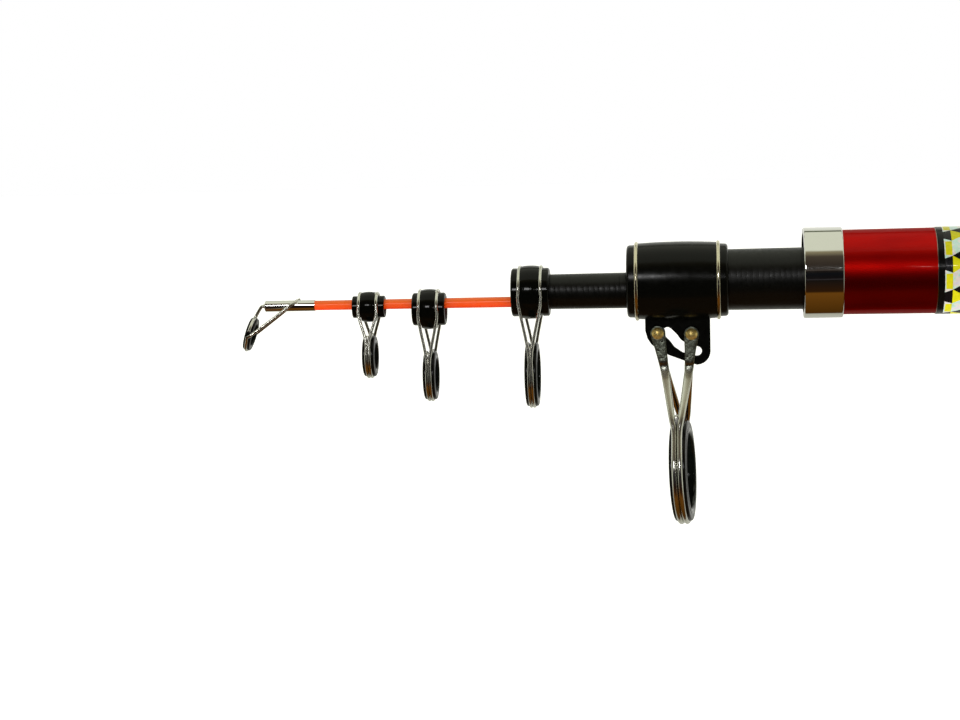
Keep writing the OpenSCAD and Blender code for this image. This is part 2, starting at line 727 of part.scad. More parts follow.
// Crowned barrel with a wire groove at each side and two round ends, its middle at x = 0
module guide_collar(len, barrel_len, barrel_d, flange_d, bore_rear, bore_front) {
    n = 8;
    f = flange_d / 2;
    e = min(0.5, 0.6 * (f - max(bore_rear, bore_front)));
    h = len / 2;
    half_groove = wire_d / 2 + seat_gap;
    b = barrel_len / 2 - half_groove;
    g = barrel_len / 2 + half_groove;
    floor_r = min(f, wire_seat_r(barrel_d) - half_groove) - 0.05;
    crown = 0.2;
    barrel = [for (i = [0 : n]) let (t = i / n)
        [barrel_d / 2 - crown * pow(2 * t - 1, 2), b * (2 * t - 1)]];
    turned(concat([[bore_rear, -h]], arc([f - e, e - h], e, -90, 0), [[f, -g], [floor_r, -g],
        [floor_r, -b]], barrel, [[floor_r, b], [floor_r, g], [f, g]], arc([f - e, h - e], e, 0, 90),
        [[bore_front, h]]));
}

function wire_seat_r(barrel_d) = barrel_d / 2 - 0.35;
function ring_seat_r(ring_d) = ring_d / 2 + 0.05;

// One wire loop, from the collar's groove down both sides and round the ring. side is 1 at the butt.
// A leg stays straight until it is clear of the barrel, then leans in to meet the other at the ring's top
module guide_wire(side, barrel_len, barrel_d, ring_d, drop) {
    ra = wire_seat_r(barrel_d);
    rb = ring_seat_r(ring_d);
    a = acos((rb - ra) / drop);
    u0 = side * barrel_len / 2;
    u1 = side * (wire_d / 2 + 0.02);
    clear_a = sqrt(pow(barrel_d / 2 + wire_d / 2, 2) - ra * ra) + 0.2;
    meet = 0.35 * ring_d;
    function leg(u, z, r, t, m) = [u, m * (r * sin(a) + t * cos(a)), z + r * cos(a) - t * sin(a)];
    bends = [leg(u0, 0, ra, clear_a, 1), leg(u1, -drop, rb, -meet, 1)];
    back = [leg(u1, -drop, rb, -meet, -1), leg(u0, 0, ra, clear_a, -1)];
    round_wire(concat(loop_arc([u0, 0, 0], ra, -a, a), bends, loop_arc([u1, 0, -drop], rb, a, 360 - a),
        back), wire_d, [1, 0, 0], closed = true);
}

module guide_ring(ring_d, drop) {
    translate([0, 0, -drop]) grooved_ring(ring_d / 2, ring_d / 2 - ring_wall * 0.55, ring_w,
        ring_seat_r(ring_d), wire_d);
}

module guide_insert(ring_d, drop) {
    translate([0, 0, -drop]) insert(ring_d / 2 - ring_wall * 0.55 - seat_gap, ring_d / 2 - ring_wall,
        ring_w + 0.2);
}

module at_guide_3() {
    translate([-guide_3_s, 0, section_2_z]) children();
}

module at_guide_2() {
    translate([-guide_2_s, 0, guide_2_z]) children();
}

module at_guide_1() {
    translate([-guide_1_s, 0, guide_1_z]) children();
}

// ---- Section 2 and guide 3 ----

module section_2_base_ring() {
    s = section_2_rear + base_ring_len;
    color("ivory") base_ring(section_2_rear, section_2_z, section_2_bore_r(s), section_2_r(s));
}

module section_2_tube() {
    s0 = section_2_rear + base_ring_len;
    s1 = section_2_front;
    color([0.05, 0.05, 0.05]) translate([0, 0, section_2_z])
        tube(s0, s1, section_2_bore_r(s0), section_2_bore_r(s1), section_2_r(s0), section_2_r(s1));
}

module guide_3_collar() {
    bore_rear = section_2_r(guide_3_s - guide_3_len / 2) + seat_gap;
    bore_front = section_2_r(guide_3_s + guide_3_len / 2) + seat_gap;
    color([0.05, 0.05, 0.05]) at_guide_3() guide_collar(guide_3_len, guide_3_barrel_len,
        guide_3_barrel_d, guide_3_flange_d, bore_rear, bore_front);
}

module guide_3_front_wire() {
    color("gainsboro") at_guide_3()
        guide_wire(-1, guide_3_barrel_len, guide_3_barrel_d, guide_3_ring_d, guide_3_drop);
}

module guide_3_rear_wire() {
    color("gainsboro") at_guide_3()
        guide_wire(1, guide_3_barrel_len, guide_3_barrel_d, guide_3_ring_d, guide_3_drop);
}

module guide_3_ring() {
    color([0.06, 0.06, 0.06]) at_guide_3() guide_ring(guide_3_ring_d, guide_3_drop);
}

module guide_3_insert() {
    color([0.16, 0.16, 0.18]) at_guide_3() guide_insert(guide_3_ring_d, guide_3_drop);
}

// ---- Tip section and tip top ----

module tip_base_ring() {
    s = tip_rear + base_ring_len;
    color("ivory") base_ring(tip_rear, tip_z, tip_r(s) - 1.2, tip_r(s));
}

// Solid glass blank, slim in front and thickening to its rear end
module tip_blank() {
    s0 = tip_rear + base_ring_len;
    color([0.95, 0.3, 0.08]) translate([0, 0, tip_z]) turned([[0, s0], [tip_r(s0), s0],
        [tip_r(section_2_front), section_2_front], [tip_end_d / 2, tip_front], [0, tip_front]]);
}

top_s0 = tip_front - 11;
top_s1 = top_s0 + top_tube_len;

module tip_top_tube() {
    r = top_tube_d / 2;
    e = 0.3;
    color("silver") translate([0, 0, tip_z]) turned(concat([[tip_r(top_s0) + seat_gap, top_s0],
        [r, top_s0]], arc([r - e, top_s1 - e], e, 0, 90),
        [[0.75, top_s1], [0.75, tip_front + 0.3], [tip_r(top_s0) + seat_gap, tip_front + 0.3]]));
}

top_wire_r = top_ring_d / 2 + 0.05;
top_centre = [-(top_s1 + top_reach), 0, tip_z - top_drop];
function top_point(u, y, z) = top_centre
    + [u * cos(top_lean) + z * sin(top_lean), y, z * cos(top_lean) - u * sin(top_lean)];

module in_top_ring() {
    translate(top_centre) rotate([0, top_lean, 0]) children();
}

// Bent wire: two spine strands from the tube's nose round the ring's upper half, and a loop round its
// lower half whose ends cross over the ring's edge and run back as stays to the tube
module tip_top_frame() {
    nose_y = 0.37;
    stay_y = top_tube_d / 2 + top_wire_d / 2 + 0.02;
    over_r = top_ring_d / 2 + top_wire_d / 2 + 0.07;
    over_u = top_ring_w / 2 + 0.1;
    function ring_at(a, r, u) = top_point(u, r * sin(a), r * cos(a));
    function mirrored(p) = [p.x, -p.y, p.z];
    stay = [-(top_s0 + 4), stay_y, tip_z + 1.5];
    cross = [ring_at(84, over_r, over_u), ring_at(97, over_r, 0)];
    color("silver") {
        for (m = [-1, 1])
            round_wire(concat([[-(top_s1 - 1), m * nose_y, tip_z], [-(top_s1 + 0.6), m * nose_y, tip_z],
                [-(top_s1 + 1.1), m * nose_y, tip_z - 0.35], ring_at(m * 6, over_r, 0)],
                [for (a = [14 : 8 : 78]) ring_at(m * a, top_wire_r, 0)]), top_wire_d, [0, 1, 0.3]);
        round_wire(concat([stay], cross, [for (a = [108 : 8 : 252]) ring_at(a, top_wire_r, 0)],
            [mirrored(cross[1]), mirrored(cross[0]), mirrored(stay)]), top_wire_d, [1, 0, 0.2]);
    }
}

module tip_top_ring() {
    in = top_hole_d / 2 + 0.7;
    w = top_ring_w / 2;
    color([0.06, 0.06, 0.06]) in_top_ring() difference() {
        turned(concat([[in, -w]], arc([top_ring_d / 2 - 0.3, 0.3 - w], 0.3, -90, 0, 4),
            arc([top_ring_d / 2 - 0.3, w - 0.3], 0.3, 0, 90, 4), [[in, w]]));
        hoop(top_wire_r, top_wire_d + 4 * seat_gap, 0, 360);
    }
}

module tip_top_insert() {
    color([0.16, 0.16, 0.18]) in_top_ring()
        insert(top_hole_d / 2 + 0.7 - seat_gap, top_hole_d / 2, top_ring_w + 0.1);
}

// ---- Sliding guides 2 and 1 ----

sleeve_wall = 0.4;

// Plastic sleeve that runs on the tip section
module sleeve(len, bore_d) {
    r = bore_d / 2 + lock_gap;
    turned([[r, -len / 2 + 0.05], [r + sleeve_wall, -len / 2 + 0.05], [r + sleeve_wall, len / 2 - 0.05],
        [r, len / 2 - 0.05]]);
}

function sleeve_seat_r(bore_d) = bore_d / 2 + lock_gap + sleeve_wall + turn_gap;

module guide_2_sleeve() {
    color("whitesmoke") at_guide_2() sleeve(guide_2_len, guide_2_bore_d);
}

module guide_2_collar() {
    bore = sleeve_seat_r(guide_2_bore_d);
    color([0.05, 0.05, 0.05]) at_guide_2() guide_collar(guide_2_len, guide_2_barrel_len,
        guide_2_barrel_d, guide_2_flange_d, bore, bore);
}

module guide_2_front_wire() {
    color("gainsboro") at_guide_2()
        guide_wire(-1, guide_2_barrel_len, guide_2_barrel_d, guide_2_ring_d, guide_2_drop);
}

module guide_2_rear_wire() {
    color("gainsboro") at_guide_2()
        guide_wire(1, guide_2_barrel_len, guide_2_barrel_d, guide_2_ring_d, guide_2_drop);
}

module guide_2_ring() {
    color([0.06, 0.06, 0.06]) at_guide_2() guide_ring(guide_2_ring_d, guide_2_drop);
}

module guide_2_insert() {
    color([0.16, 0.16, 0.18]) at_guide_2() guide_insert(guide_2_ring_d, guide_2_drop);
}

module guide_1_sleeve() {
    color("whitesmoke") at_guide_1() sleeve(guide_1_len, guide_1_bore_d);
}

module guide_1_collar() {
    bore = sleeve_seat_r(guide_1_bore_d);
    color([0.05, 0.05, 0.05]) at_guide_1() guide_collar(guide_1_len, guide_1_barrel_len,
        guide_1_barrel_d, guide_1_flange_d, bore, bore);
}

module guide_1_front_wire() {
    color("gainsboro") at_guide_1()
        guide_wire(-1, guide_1_barrel_len, guide_1_barrel_d, guide_1_ring_d, guide_1_drop);
}

module guide_1_rear_wire() {
    color("gainsboro") at_guide_1()
        guide_wire(1, guide_1_barrel_len, guide_1_barrel_d, guide_1_ring_d, guide_1_drop);
}

module guide_1_ring() {
    color([0.06, 0.06, 0.06]) at_guide_1() guide_ring(guide_1_ring_d, guide_1_drop);
}

module guide_1_insert() {
    color([0.16, 0.16, 0.18]) at_guide_1() guide_insert(guide_1_ring_d, guide_1_drop);
}

butt_tube();
front_ferrule();
front_band();
pattern_wrap();
rear_band();
winding_check();
foregrip();
reel_seat_tube();
fixed_hood();
sliding_hood();
hood_liner();
lock_nut();
lock_nut_trim();
seat_end_ring();
rear_grip();
butt_collar();
plug_gasket();
butt_plug();
plug_cushion();
section_3_base_ring();
section_3_tube();
stripper_collar();
stripper_rear_trim();
stripper_front_trim();
stripper_plate();
stripper_rivets();
stripper_front_frame();
stripper_rear_frame();
stripper_ring();
stripper_insert();
section_2_base_ring();
section_2_tube();
guide_3_collar();
guide_3_front_wire();
guide_3_rear_wire();
guide_3_ring();
guide_3_insert();
tip_base_ring();
tip_blank();
tip_top_tube();
tip_top_frame();
tip_top_ring();
tip_top_insert();
guide_2_sleeve();
guide_2_collar();
guide_2_front_wire();
guide_2_rear_wire();
guide_2_ring();
guide_2_insert();
guide_1_sleeve();
guide_1_collar();
guide_1_front_wire();
guide_1_rear_wire();
guide_1_ring();
guide_1_insert();
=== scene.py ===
import math

import bmesh
import bpy
from mathutils import Matrix, Vector, noise


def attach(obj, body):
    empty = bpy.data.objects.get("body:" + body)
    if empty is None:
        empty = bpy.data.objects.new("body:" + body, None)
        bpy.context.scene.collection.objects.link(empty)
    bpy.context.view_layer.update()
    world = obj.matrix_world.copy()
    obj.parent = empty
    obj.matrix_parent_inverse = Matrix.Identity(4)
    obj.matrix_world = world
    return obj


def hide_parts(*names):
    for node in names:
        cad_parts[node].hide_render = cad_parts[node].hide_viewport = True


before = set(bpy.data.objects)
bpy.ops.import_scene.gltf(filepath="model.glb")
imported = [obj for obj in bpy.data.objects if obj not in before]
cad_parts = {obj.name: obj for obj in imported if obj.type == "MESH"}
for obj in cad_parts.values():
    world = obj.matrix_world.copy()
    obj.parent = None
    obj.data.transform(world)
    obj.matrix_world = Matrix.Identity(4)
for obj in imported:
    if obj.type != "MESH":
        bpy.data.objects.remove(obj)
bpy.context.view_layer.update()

# ---- Butt tube ----
# A tapered glass fibre tube, sprayed candy red over a silver ground and polished to a deep gloss.
# A fine silver line, drawn on with a brush, closes the lacquer's rear edge.
MM = 0.001
BUTT_LEN = 450.0
BUTT_FRONT_R = 10.0
BUTT_REAR_R = 12.1
LACQUER_REAR_S = 419.1


def butt_r(s):
    """Radius of the butt tube, s millimetres in front of its rear end."""
    return BUTT_FRONT_R + (BUTT_REAR_R - BUTT_FRONT_R) * (BUTT_LEN - s) / BUTT_LEN


def finish(name, colour, metal=0.0, rough=0.3, **more):
    """A new material. Values that are the same all over the surface sit on the shader's own sockets."""
    made = bpy.data.materials.new(name)
    made.use_nodes = True
    shader = made.node_tree.nodes["Principled BSDF"]
    shader.inputs["Base Color"].default_value = (*colour, 1)
    shader.inputs["Metallic"].default_value = metal
    shader.inputs["Roughness"].default_value = rough
    for socket, value in more.items():
        shader.inputs[socket.replace("_", " ")].default_value = value
    return made


def node(made, kind, inputs, **settings):
    """Adds one node. An input is a number, a vector or another node's output."""
    new = made.node_tree.nodes.new("ShaderNode" + kind)
    for key, value in settings.items():
        setattr(new, key, value)
    for key, value in inputs.items():
        if isinstance(value, bpy.types.NodeSocket):
            made.node_tree.links.new(value, new.inputs[key])
        else:
            new.inputs[key].default_value = value
    return new


def place(made, x=1.0, y=1.0, z=1.0):
    """The point on the piece in millimetres, stretched by x, y and z."""
    scale = (x / MM, y / MM, z / MM)
    coords = node(made, "TexCoord", {})
    return node(made, "Mapping", {"Vector": coords.outputs["Object"], "Scale": scale}).outputs[0]


def cloud(made, point, detail=3.0, scale=1.0):
    """Noise from 0 to 1 with features about 1 / scale millimetres across."""
    return node(made, "TexNoise", {"Vector": point, "Scale": scale, "Detail": detail}).outputs[0]


def shades(made, value, *stops):
    """Turns a value from 0 to 1 into the colours of the stops, each (place, colour)."""
    new = node(made, "ValToRGB", {"Fac": value})
    ramp = new.color_ramp
    ramp.elements[0].position = stops[0][0]
    ramp.elements[1].position = stops[-1][0]
    for at, _ in stops[1:-1]:
        ramp.elements.new(at)
    for element, (_, colour) in zip(ramp.elements, stops):
        element.color = (*colour, 1)
    return new.outputs[0]


def between(made, value, low, high):
    """Spreads the middle of a noise over low to high."""
    inputs = {"Value": value, "From Min": 0.3, "From Max": 0.7, "To Min": low, "To Max": high}
    return node(made, "MapRange", inputs).outputs[0]


def feed(made, socket, value):
    made.node_tree.links.new(value, made.node_tree.nodes["Principled BSDF"].inputs[socket])


def relief(made, height, depth_mm, strength=1.0):
    """Adds relief to the surface, on top of what it has already."""
    shader = made.node_tree.nodes["Principled BSDF"]
    inputs = {"Height": height, "Distance": depth_mm * MM, "Strength": strength}
    before = shader.inputs["Normal"].links
    if before:
        inputs["Normal"] = before[0].from_socket
    feed(made, "Normal", node(made, "Bump", inputs).outputs[0])


def paint(made, *names):
    """Gives CAD nodes a material."""
    for name in names:
        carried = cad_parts[name]
        for slot in carried.material_slots:
            slot.material = made
        if not carried.material_slots:
            carried.data.materials.append(made)


def piece(name, body, slot, made, verts, faces, replaces=()):
    """A smooth new mesh, in millimetres, that rides on a body."""
    mesh = bpy.data.meshes.new(name)
    mesh.from_pydata([Vector(v) * MM for v in verts], [], faces)
    tidy = bmesh.new()
    tidy.from_mesh(mesh)
    bmesh.ops.recalc_face_normals(tidy, faces=tidy.faces)
    tidy.to_mesh(mesh)
    tidy.free()
    mesh.materials.append(made)
    mesh.shade_smooth()
    new = bpy.data.objects.new(name, mesh)
    bpy.context.scene.collection.objects.link(new)
    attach(new, body)
    if replaces:
        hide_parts(*replaces)
    return new


def turned(profile, around=96, z=0.0, place_at=None):
    """A closed profile of (s, radius) turned about a line along the rod at height z."""
    verts, faces, n = [], [], len(profile)
    for i in range(around):
        a = 2 * math.pi * i / around
        for s, r in profile:
            point = Vector((-s, r * math.sin(a), z + r * math.cos(a)))
            verts.append(place_at(point) if place_at else point)
        for k in range(n):
            j, m = (i + 1) % around, (k + 1) % n
            faces.append((i * n + k, i * n + m, j * n + m, j * n + k))
    return verts, faces


def bead(s, r, d, sides=12):
    """The profile of a round ring of section d, at s, whose middle lies r off the line."""
    return [
        (s + d / 2 * math.cos(2 * math.pi * k / sides), r + d / 2 * math.sin(2 * math.pi * k / sides))
        for k in range(sides)
    ]


lacquer = finish("candy_red_lacquer", (0.5, 0.002, 0.002), 1.0, 0.38, Coat_Weight=0.16, Coat_Roughness=0.02,
    Specular_Tint=(0.5, 0.04, 0.02, 1))
flake = node(lacquer, "TexVoronoi", {"Vector": place(lacquer), "Scale": 9.0}).outputs["Distance"]
ground = shades(lacquer, cloud(lacquer, place(lacquer, 0.08, 0.3, 0.3)),
    (0.3, (0.44, 0.002, 0.002)), (0.7, (0.56, 0.004, 0.002)))
feed(lacquer, "Base Color", ground)
feed(lacquer, "Roughness", between(lacquer, flake, 0.34, 0.42))
relief(lacquer, flake, 0.004)
relief(lacquer, cloud(lacquer, place(lacquer, 0.25, 0.25, 0.25)), 0.012)
paint(lacquer, "butt_tube")

silver_line = finish("silver_edge_line", (0.4, 0.34, 0.3), 1.0, 0.16)
relief(silver_line, cloud(silver_line, place(silver_line, 1.5, 1.5, 1.5)), 0.02)
piece("lacquer_edge_line", "butt", "chrome", silver_line,
    *turned(bead(LACQUER_REAR_S + 0.1, butt_r(LACQUER_REAR_S) + 0.03, 0.18)))

# ---- Front ferrule ----
# A chromed brass sleeve is rolled over the mouth of the butt and polished. It covers the end of
# the tube and stops the mouth splitting where the sections wedge.
chrome = finish("polished_chrome", (0.76, 0.76, 0.72), 1.0, 0.05)
drawn = cloud(chrome, place(chrome, 3.0, 0.15, 0.15), 2.0)
feed(chrome, "Roughness", between(chrome, cloud(chrome, place(chrome, 0.5, 0.5, 0.5), 5.0), 0.03, 0.09))
relief(chrome, drawn, 0.0005)
relief(chrome, cloud(chrome, place(chrome, 0.12, 0.12, 0.12), 1.0), 0.02)
paint(chrome, "front_ferrule")

# ---- Foil wrap ----
# A printed foil decorates the butt between two black bands, under a clear coat. Rows of triangles
# run round it in yellow, bright silver and black, with the black ones standing as pairs of points.
FOIL_FRONT_S = 417.7
FOIL_REAR_S = 331.7
FOIL_EDGE_S = 415.9
FOIL_ROWS = 24
FOIL_STEP = math.radians(22.5)
FOIL_START = math.radians(10.6)
FOIL_AROUND = 16
FOIL_LIFT = 0.17
FOIL_T = 0.14
YELLOW, SILVER, BLACK = 0, 1, 2

clear = {"Coat_Weight": 0.2, "Coat_Roughness": 0.03, "Specular_IOR_Level": 0.2}
yellow_foil = finish("yellow_foil", (0.8, 0.74, 0.002), 0.1, 0.35, **clear)
feed(yellow_foil, "Base Color", shades(yellow_foil,
    cloud(yellow_foil, place(yellow_foil, 1.2, 1.2, 1.2)),
    (0.3, (0.72, 0.68, 0.001)), (0.7, (0.88, 0.8, 0.004))))
silver_foil = finish("silver_foil", (0.8, 0.8, 0.78), 0.3, 0.3, **clear)
feed(silver_foil, "Base Color", shades(silver_foil,
    cloud(silver_foil, place(silver_foil, 0.5, 0.9, 0.9), 1.0),
    (0.3, (0.82, 0.9, 1.0)), (0.42, (0.66, 0.98, 0.84)), (0.5, (0.95, 0.95, 0.9)),
    (0.58, (1.0, 0.88, 0.85)), (0.7, (0.88, 0.86, 1.0))))
black_ink = finish("black_ink", (0.004, 0.004, 0.006), 0.0, 0.3, **clear)
feed(black_ink, "Roughness", between(black_ink, cloud(black_ink, place(black_ink, 2, 2, 2)), 0.22, 0.4))
for foil in (yellow_foil, silver_foil, black_ink):
    relief(foil, cloud(foil, place(foil, 0.2, 0.2, 0.2), 1.0), 0.02)


def on_foil(s, a):
    """A point of the wrap: a is the angle from -Y towards +Z."""
    r = butt_r(s) + FOIL_LIFT
    return Vector((-s, -r * math.cos(a), r * math.sin(a)))


def foil_patch(verts, faces, inks, corners, ink, cuts=4):
    """One printed triangle or quad of (s, angle) corners, cut small enough to follow the tube."""
    if len(corners) == 4:
        a, b, c, d = corners
        foil_patch(verts, faces, inks, (a, b, c), ink, cuts)
        foil_patch(verts, faces, inks, (a, c, d), ink, cuts)
        return
    (s0, a0), (s1, a1), (s2, a2) = corners
    start, rows = len(verts), []
    for i in range(cuts + 1):
        rows.append([])
        for j in range(cuts + 1 - i):
            u, v = i / cuts, j / cuts
            rows[i].append(start + sum(map(len, rows[:i])) + j)
            verts.append(on_foil(s0 + u * (s1 - s0) + v * (s2 - s0), a0 + u * (a1 - a0) + v * (a2 - a0)))
    for i in range(cuts):
        for j in range(cuts - i):
            faces.append((rows[i][j], rows[i + 1][j], rows[i][j + 1]))
            inks.append(ink)
            if j < cuts - i - 1:
                faces.append((rows[i + 1][j], rows[i + 1][j + 1], rows[i][j + 1]))
                inks.append(ink)


def foil_wrap():
    """The whole wrap: staggered rows of triangles behind one row of blocks at the front edge."""
    verts, faces, inks = [], [], []
    row = (FOIL_EDGE_S - FOIL_REAR_S) / FOIL_ROWS
    half = FOIL_STEP / 2
    for k in range(FOIL_ROWS):
        s, t = FOIL_EDGE_S - k * row, FOIL_EDGE_S - (k + 1) * row
        for i in range(FOIL_AROUND):
            a = FOIL_START + (i + 0.5 * (k % 2)) * FOIL_STEP
            first = (i + k // 2) % 2 == 0
            patch = ((s, a - half), (s, a + half), (t, a))
            foil_patch(verts, faces, inks, patch, YELLOW if first else SILVER)
            patch = ((s, a + half), (t, a), (t, a + FOIL_STEP))
            foil_patch(verts, faces, inks, patch, BLACK if first else SILVER)
    front, edge = FOIL_FRONT_S, FOIL_EDGE_S
    narrow, wide = math.radians(7.4), half
    for i in range(FOIL_AROUND // 2):
        a = FOIL_START + 2 * i * FOIL_STEP
        foil_patch(verts, faces, inks,
            ((front, a - narrow), (front, a + narrow), (edge, a + wide), (edge, a - wide)), BLACK)
        b = a + FOIL_STEP
        outer = 2 * half - narrow
        inner_s, inner, bay = front - 0.25, math.radians(10.0), math.radians(10.6)
        low = ((front, b - outer), (inner_s, b - inner), (edge, b - bay), (edge, b - wide))
        high = ((front, b + outer), (edge, b + wide), (edge, b + bay), (inner_s, b + inner))
        nose = ((front, b - outer), (front, b + outer), (inner_s, b + inner), (inner_s, b - inner))
        for patch in (low, high, nose):
            foil_patch(verts, faces, inks, patch, SILVER)
        foil_patch(verts, faces, inks,
            ((inner_s, b - inner), (inner_s, b + inner), (edge, b + bay), (edge, b - bay)), YELLOW)
    mesh = bpy.data.meshes.new("foil_wrap")
    mesh.from_pydata([v * MM for v in verts], [], faces)
    for foil in (yellow_foil, silver_foil, black_ink):
        mesh.materials.append(foil)
    mesh.polygons.foreach_set("material_index", inks)
    knit = bmesh.new()
    knit.from_mesh(mesh)
    bmesh.ops.remove_doubles(knit, verts=knit.verts, dist=0.02 * MM)
    for face in knit.faces:
        out = face.calc_center_median()
        if face.normal.dot(Vector((0, out.y, out.z))) < 0:
            face.normal_flip()
    knit.to_mesh(mesh)
    knit.free()
    mesh.shade_smooth()
    wrap = bpy.data.objects.new("foil_wrap", mesh)
    bpy.context.scene.collection.objects.link(wrap)
    skin = wrap.modifiers.new("thickness", "SOLIDIFY")
    skin.thickness = FOIL_T * MM
    skin.offset = -1
    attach(wrap, "butt")
    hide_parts("pattern_wrap")


foil_wrap()

band_black = finish("black_band", (0.003, 0.003, 0.003), 0.0, 0.16, Specular_IOR_Level=0.2)
feed(band_black, "Roughness", between(band_black, cloud(band_black, place(band_black, 3, 3, 3)), 0.1, 0.25))
relief(band_black, cloud(band_black, place(band_black, 0.3, 0.3, 0.3)), 0.02)
paint(band_black, "front_band", "rear_band")

# ---- Winding check, end ring and butt collar ----
# Three turned and chromed rings cover the ends of the foam grips. Each is pushed on and glued.
paint(chrome, "winding_check", "seat_end_ring", "butt_collar", "lock_nut_trim")

# ---- Foam grips ----
# Closed-cell foam tubes are stretched over the butt, glued and ground to shape. The cut cells leave
# fine pores all over, and grinding leaves faint rings.
foam = finish("closed_cell_foam", (0.018, 0.018, 0.019), 0.0, 0.85, Sheen_Weight=0.25, Sheen_Roughness=0.5)
pores = node(foam, "TexVoronoi", {"Vector": place(foam), "Scale": 2.6, "Randomness": 1.0}).outputs["Distance"]
pits = shades(foam, pores, (0.05, (0, 0, 0)), (0.4, (1, 1, 1)))
feed(foam, "Base Color", shades(foam, cloud(foam, place(foam, 0.4, 0.4, 0.4), 6.0),
    (0.3, (0.011, 0.011, 0.012)), (0.7, (0.034, 0.034, 0.035))))
feed(foam, "Roughness", between(foam, cloud(foam, place(foam, 1.5, 1.5, 1.5)), 0.72, 0.95))
relief(foam, pits, 0.12)
relief(foam, cloud(foam, place(foam, 2.2, 0.05, 0.05), 2.0), 0.05)
paint(foam, "foregrip", "rear_grip")

# ---- Reel seat ----
# A moulded plastic tube is glued on the butt. Its foot hoods are drawn steel, brushed round, and the
# front hood is pushed back over the reel's foot by a fluted nut on the tube's thread.
moulded = finish("satin_moulded_plastic", (0.012, 0.012, 0.014), 0.0, 0.38, Specular_IOR_Level=0.45)
spark = cloud(moulded, place(moulded, 4, 4, 4), 4.0)
feed(moulded, "Roughness", between(moulded, spark, 0.3, 0.5))
feed(moulded, "Base Color", shades(moulded, cloud(moulded, place(moulded, 0.15, 0.15, 0.15)),
    (0.3, (0.009, 0.009, 0.011)), (0.7, (0.018, 0.018, 0.02))))
relief(moulded, spark, 0.02)
paint(moulded, "reel_seat_tube", "hood_liner", "lock_nut")

brushed = finish("brushed_gunmetal", (0.2, 0.205, 0.215), 1.0, 0.34)
strokes = cloud(brushed, place(brushed, 14.0, 0.25, 0.25), 3.0)
feed(brushed, "Base Color", shades(brushed, strokes,
    (0.25, (0.14, 0.145, 0.155)), (0.75, (0.27, 0.275, 0.285))))
feed(brushed, "Roughness", between(brushed, strokes, 0.26, 0.42))
relief(brushed, strokes, 0.006)
paint(brushed, "fixed_hood", "sliding_hood")

# ---- Butt plug ----
# A screw plug closes the butt against a rubber ring, so that the sections come out for cleaning. Its
# rim is fluted for the fingers, and a cork disc inside stops the sections rattling.
rubber = finish("soft_rubber", (0.02, 0.02, 0.02), 0.0, 0.75)
feed(rubber, "Roughness", between(rubber, cloud(rubber, place(rubber, 1, 1, 1)), 0.6, 0.9))
relief(rubber, cloud(rubber, place(rubber, 3, 3, 3), 4.0), 0.03)
paint(rubber, "plug_gasket")
paint(moulded, "butt_plug")

cork = finish("cork", (0.48, 0.3, 0.16), 0.0, 0.8)
grains = node(cork, "TexVoronoi", {"Vector": place(cork), "Scale": 0.9})
feed(cork, "Base Color", shades(cork, grains.outputs["Distance"],
    (0.0, (0.55, 0.36, 0.2)), (0.55, (0.46, 0.28, 0.14)), (0.8, (0.16, 0.08, 0.04))))
relief(cork, grains.outputs["Distance"], 0.15)
paint(cork, "plug_cushion")

# ---- Sections 3 and 2 ----
# Each section is a tube of resin-soaked fibre rolled on a steel rod under shrink tape. The tape's
# turns leave a fine spiral of ridges under the gloss black coat. A nylon ring rides at the rear end.
TAPE_PITCH = 1.3
SECTION_3_Z = -1.27
SECTION_2_Z = -3.39


def taped_tube(name, z, depth_mm):
    """Gloss black tube with the tape's spiral about a line at height z."""
    made = finish(name, (0.0015, 0.0016, 0.001), 0.0, 0.36, Specular_IOR_Level=0.3)
    point = node(made, "SeparateXYZ", {0: place(made)}).outputs
    over = node(made, "Math", {0: point[2], 1: z}, operation="SUBTRACT").outputs[0]
    turn = node(made, "Math", {0: point[1], 1: over}, operation="ARCTAN2").outputs[0]
    turn = node(made, "Math", {0: turn, 1: 2 * math.pi}, operation="DIVIDE").outputs[0]
    lay = node(made, "Math", {0: point[0], 1: TAPE_PITCH}, operation="DIVIDE").outputs[0]
    spiral = node(made, "Math", {0: lay, 1: turn}, operation="ADD").outputs[0]
    wander = cloud(made, place(made, 0.35, 0.1, 0.1), 1.0)
    spiral = node(made, "Math", {0: spiral, 1: wander}, operation="ADD").outputs[0]
    across = node(made, "Math", {0: spiral}, operation="FRACT").outputs[0]
    ridge = shades(made, across, (0.0, (0, 0, 0)), (0.15, (0.6, 0.6, 0.6)), (0.5, (1, 1, 1)),
        (0.85, (0.6, 0.6, 0.6)), (1.0, (0, 0, 0)))
    feed(made, "Roughness", between(made, cloud(made, place(made, 0.8, 0.8, 0.8)), 0.3, 0.42))
    relief(made, ridge, depth_mm)
    relief(made, cloud(made, place(made, 0.5, 0.5, 0.5), 2.0), 0.015)
    return made


paint(taped_tube("section_3_black", SECTION_3_Z, 0.02), "section_3_tube")
paint(taped_tube("section_2_black", SECTION_2_Z, 0.055), "section_2_tube")

nylon = finish("nylon", (0.62, 0.6, 0.52), 0.0, 0.42, Subsurface_Weight=0.15, Subsurface_Scale=0.001)
feed(nylon, "Roughness", between(nylon, cloud(nylon, place(nylon, 1, 1, 1)), 0.35, 0.5))
relief(nylon, cloud(nylon, place(nylon, 4, 0.4, 0.4), 2.0), 0.012)
paint(nylon, "section_3_base_ring", "section_2_base_ring", "tip_base_ring")

# ---- Stripper guide's collar and plate ----
# A gloss black moulded collar is glued on section 3, with a thin brass wire rolled into a groove at
# each end. A pressed steel plate, enamelled black, is bonded into a slot below and has a keeper slot.


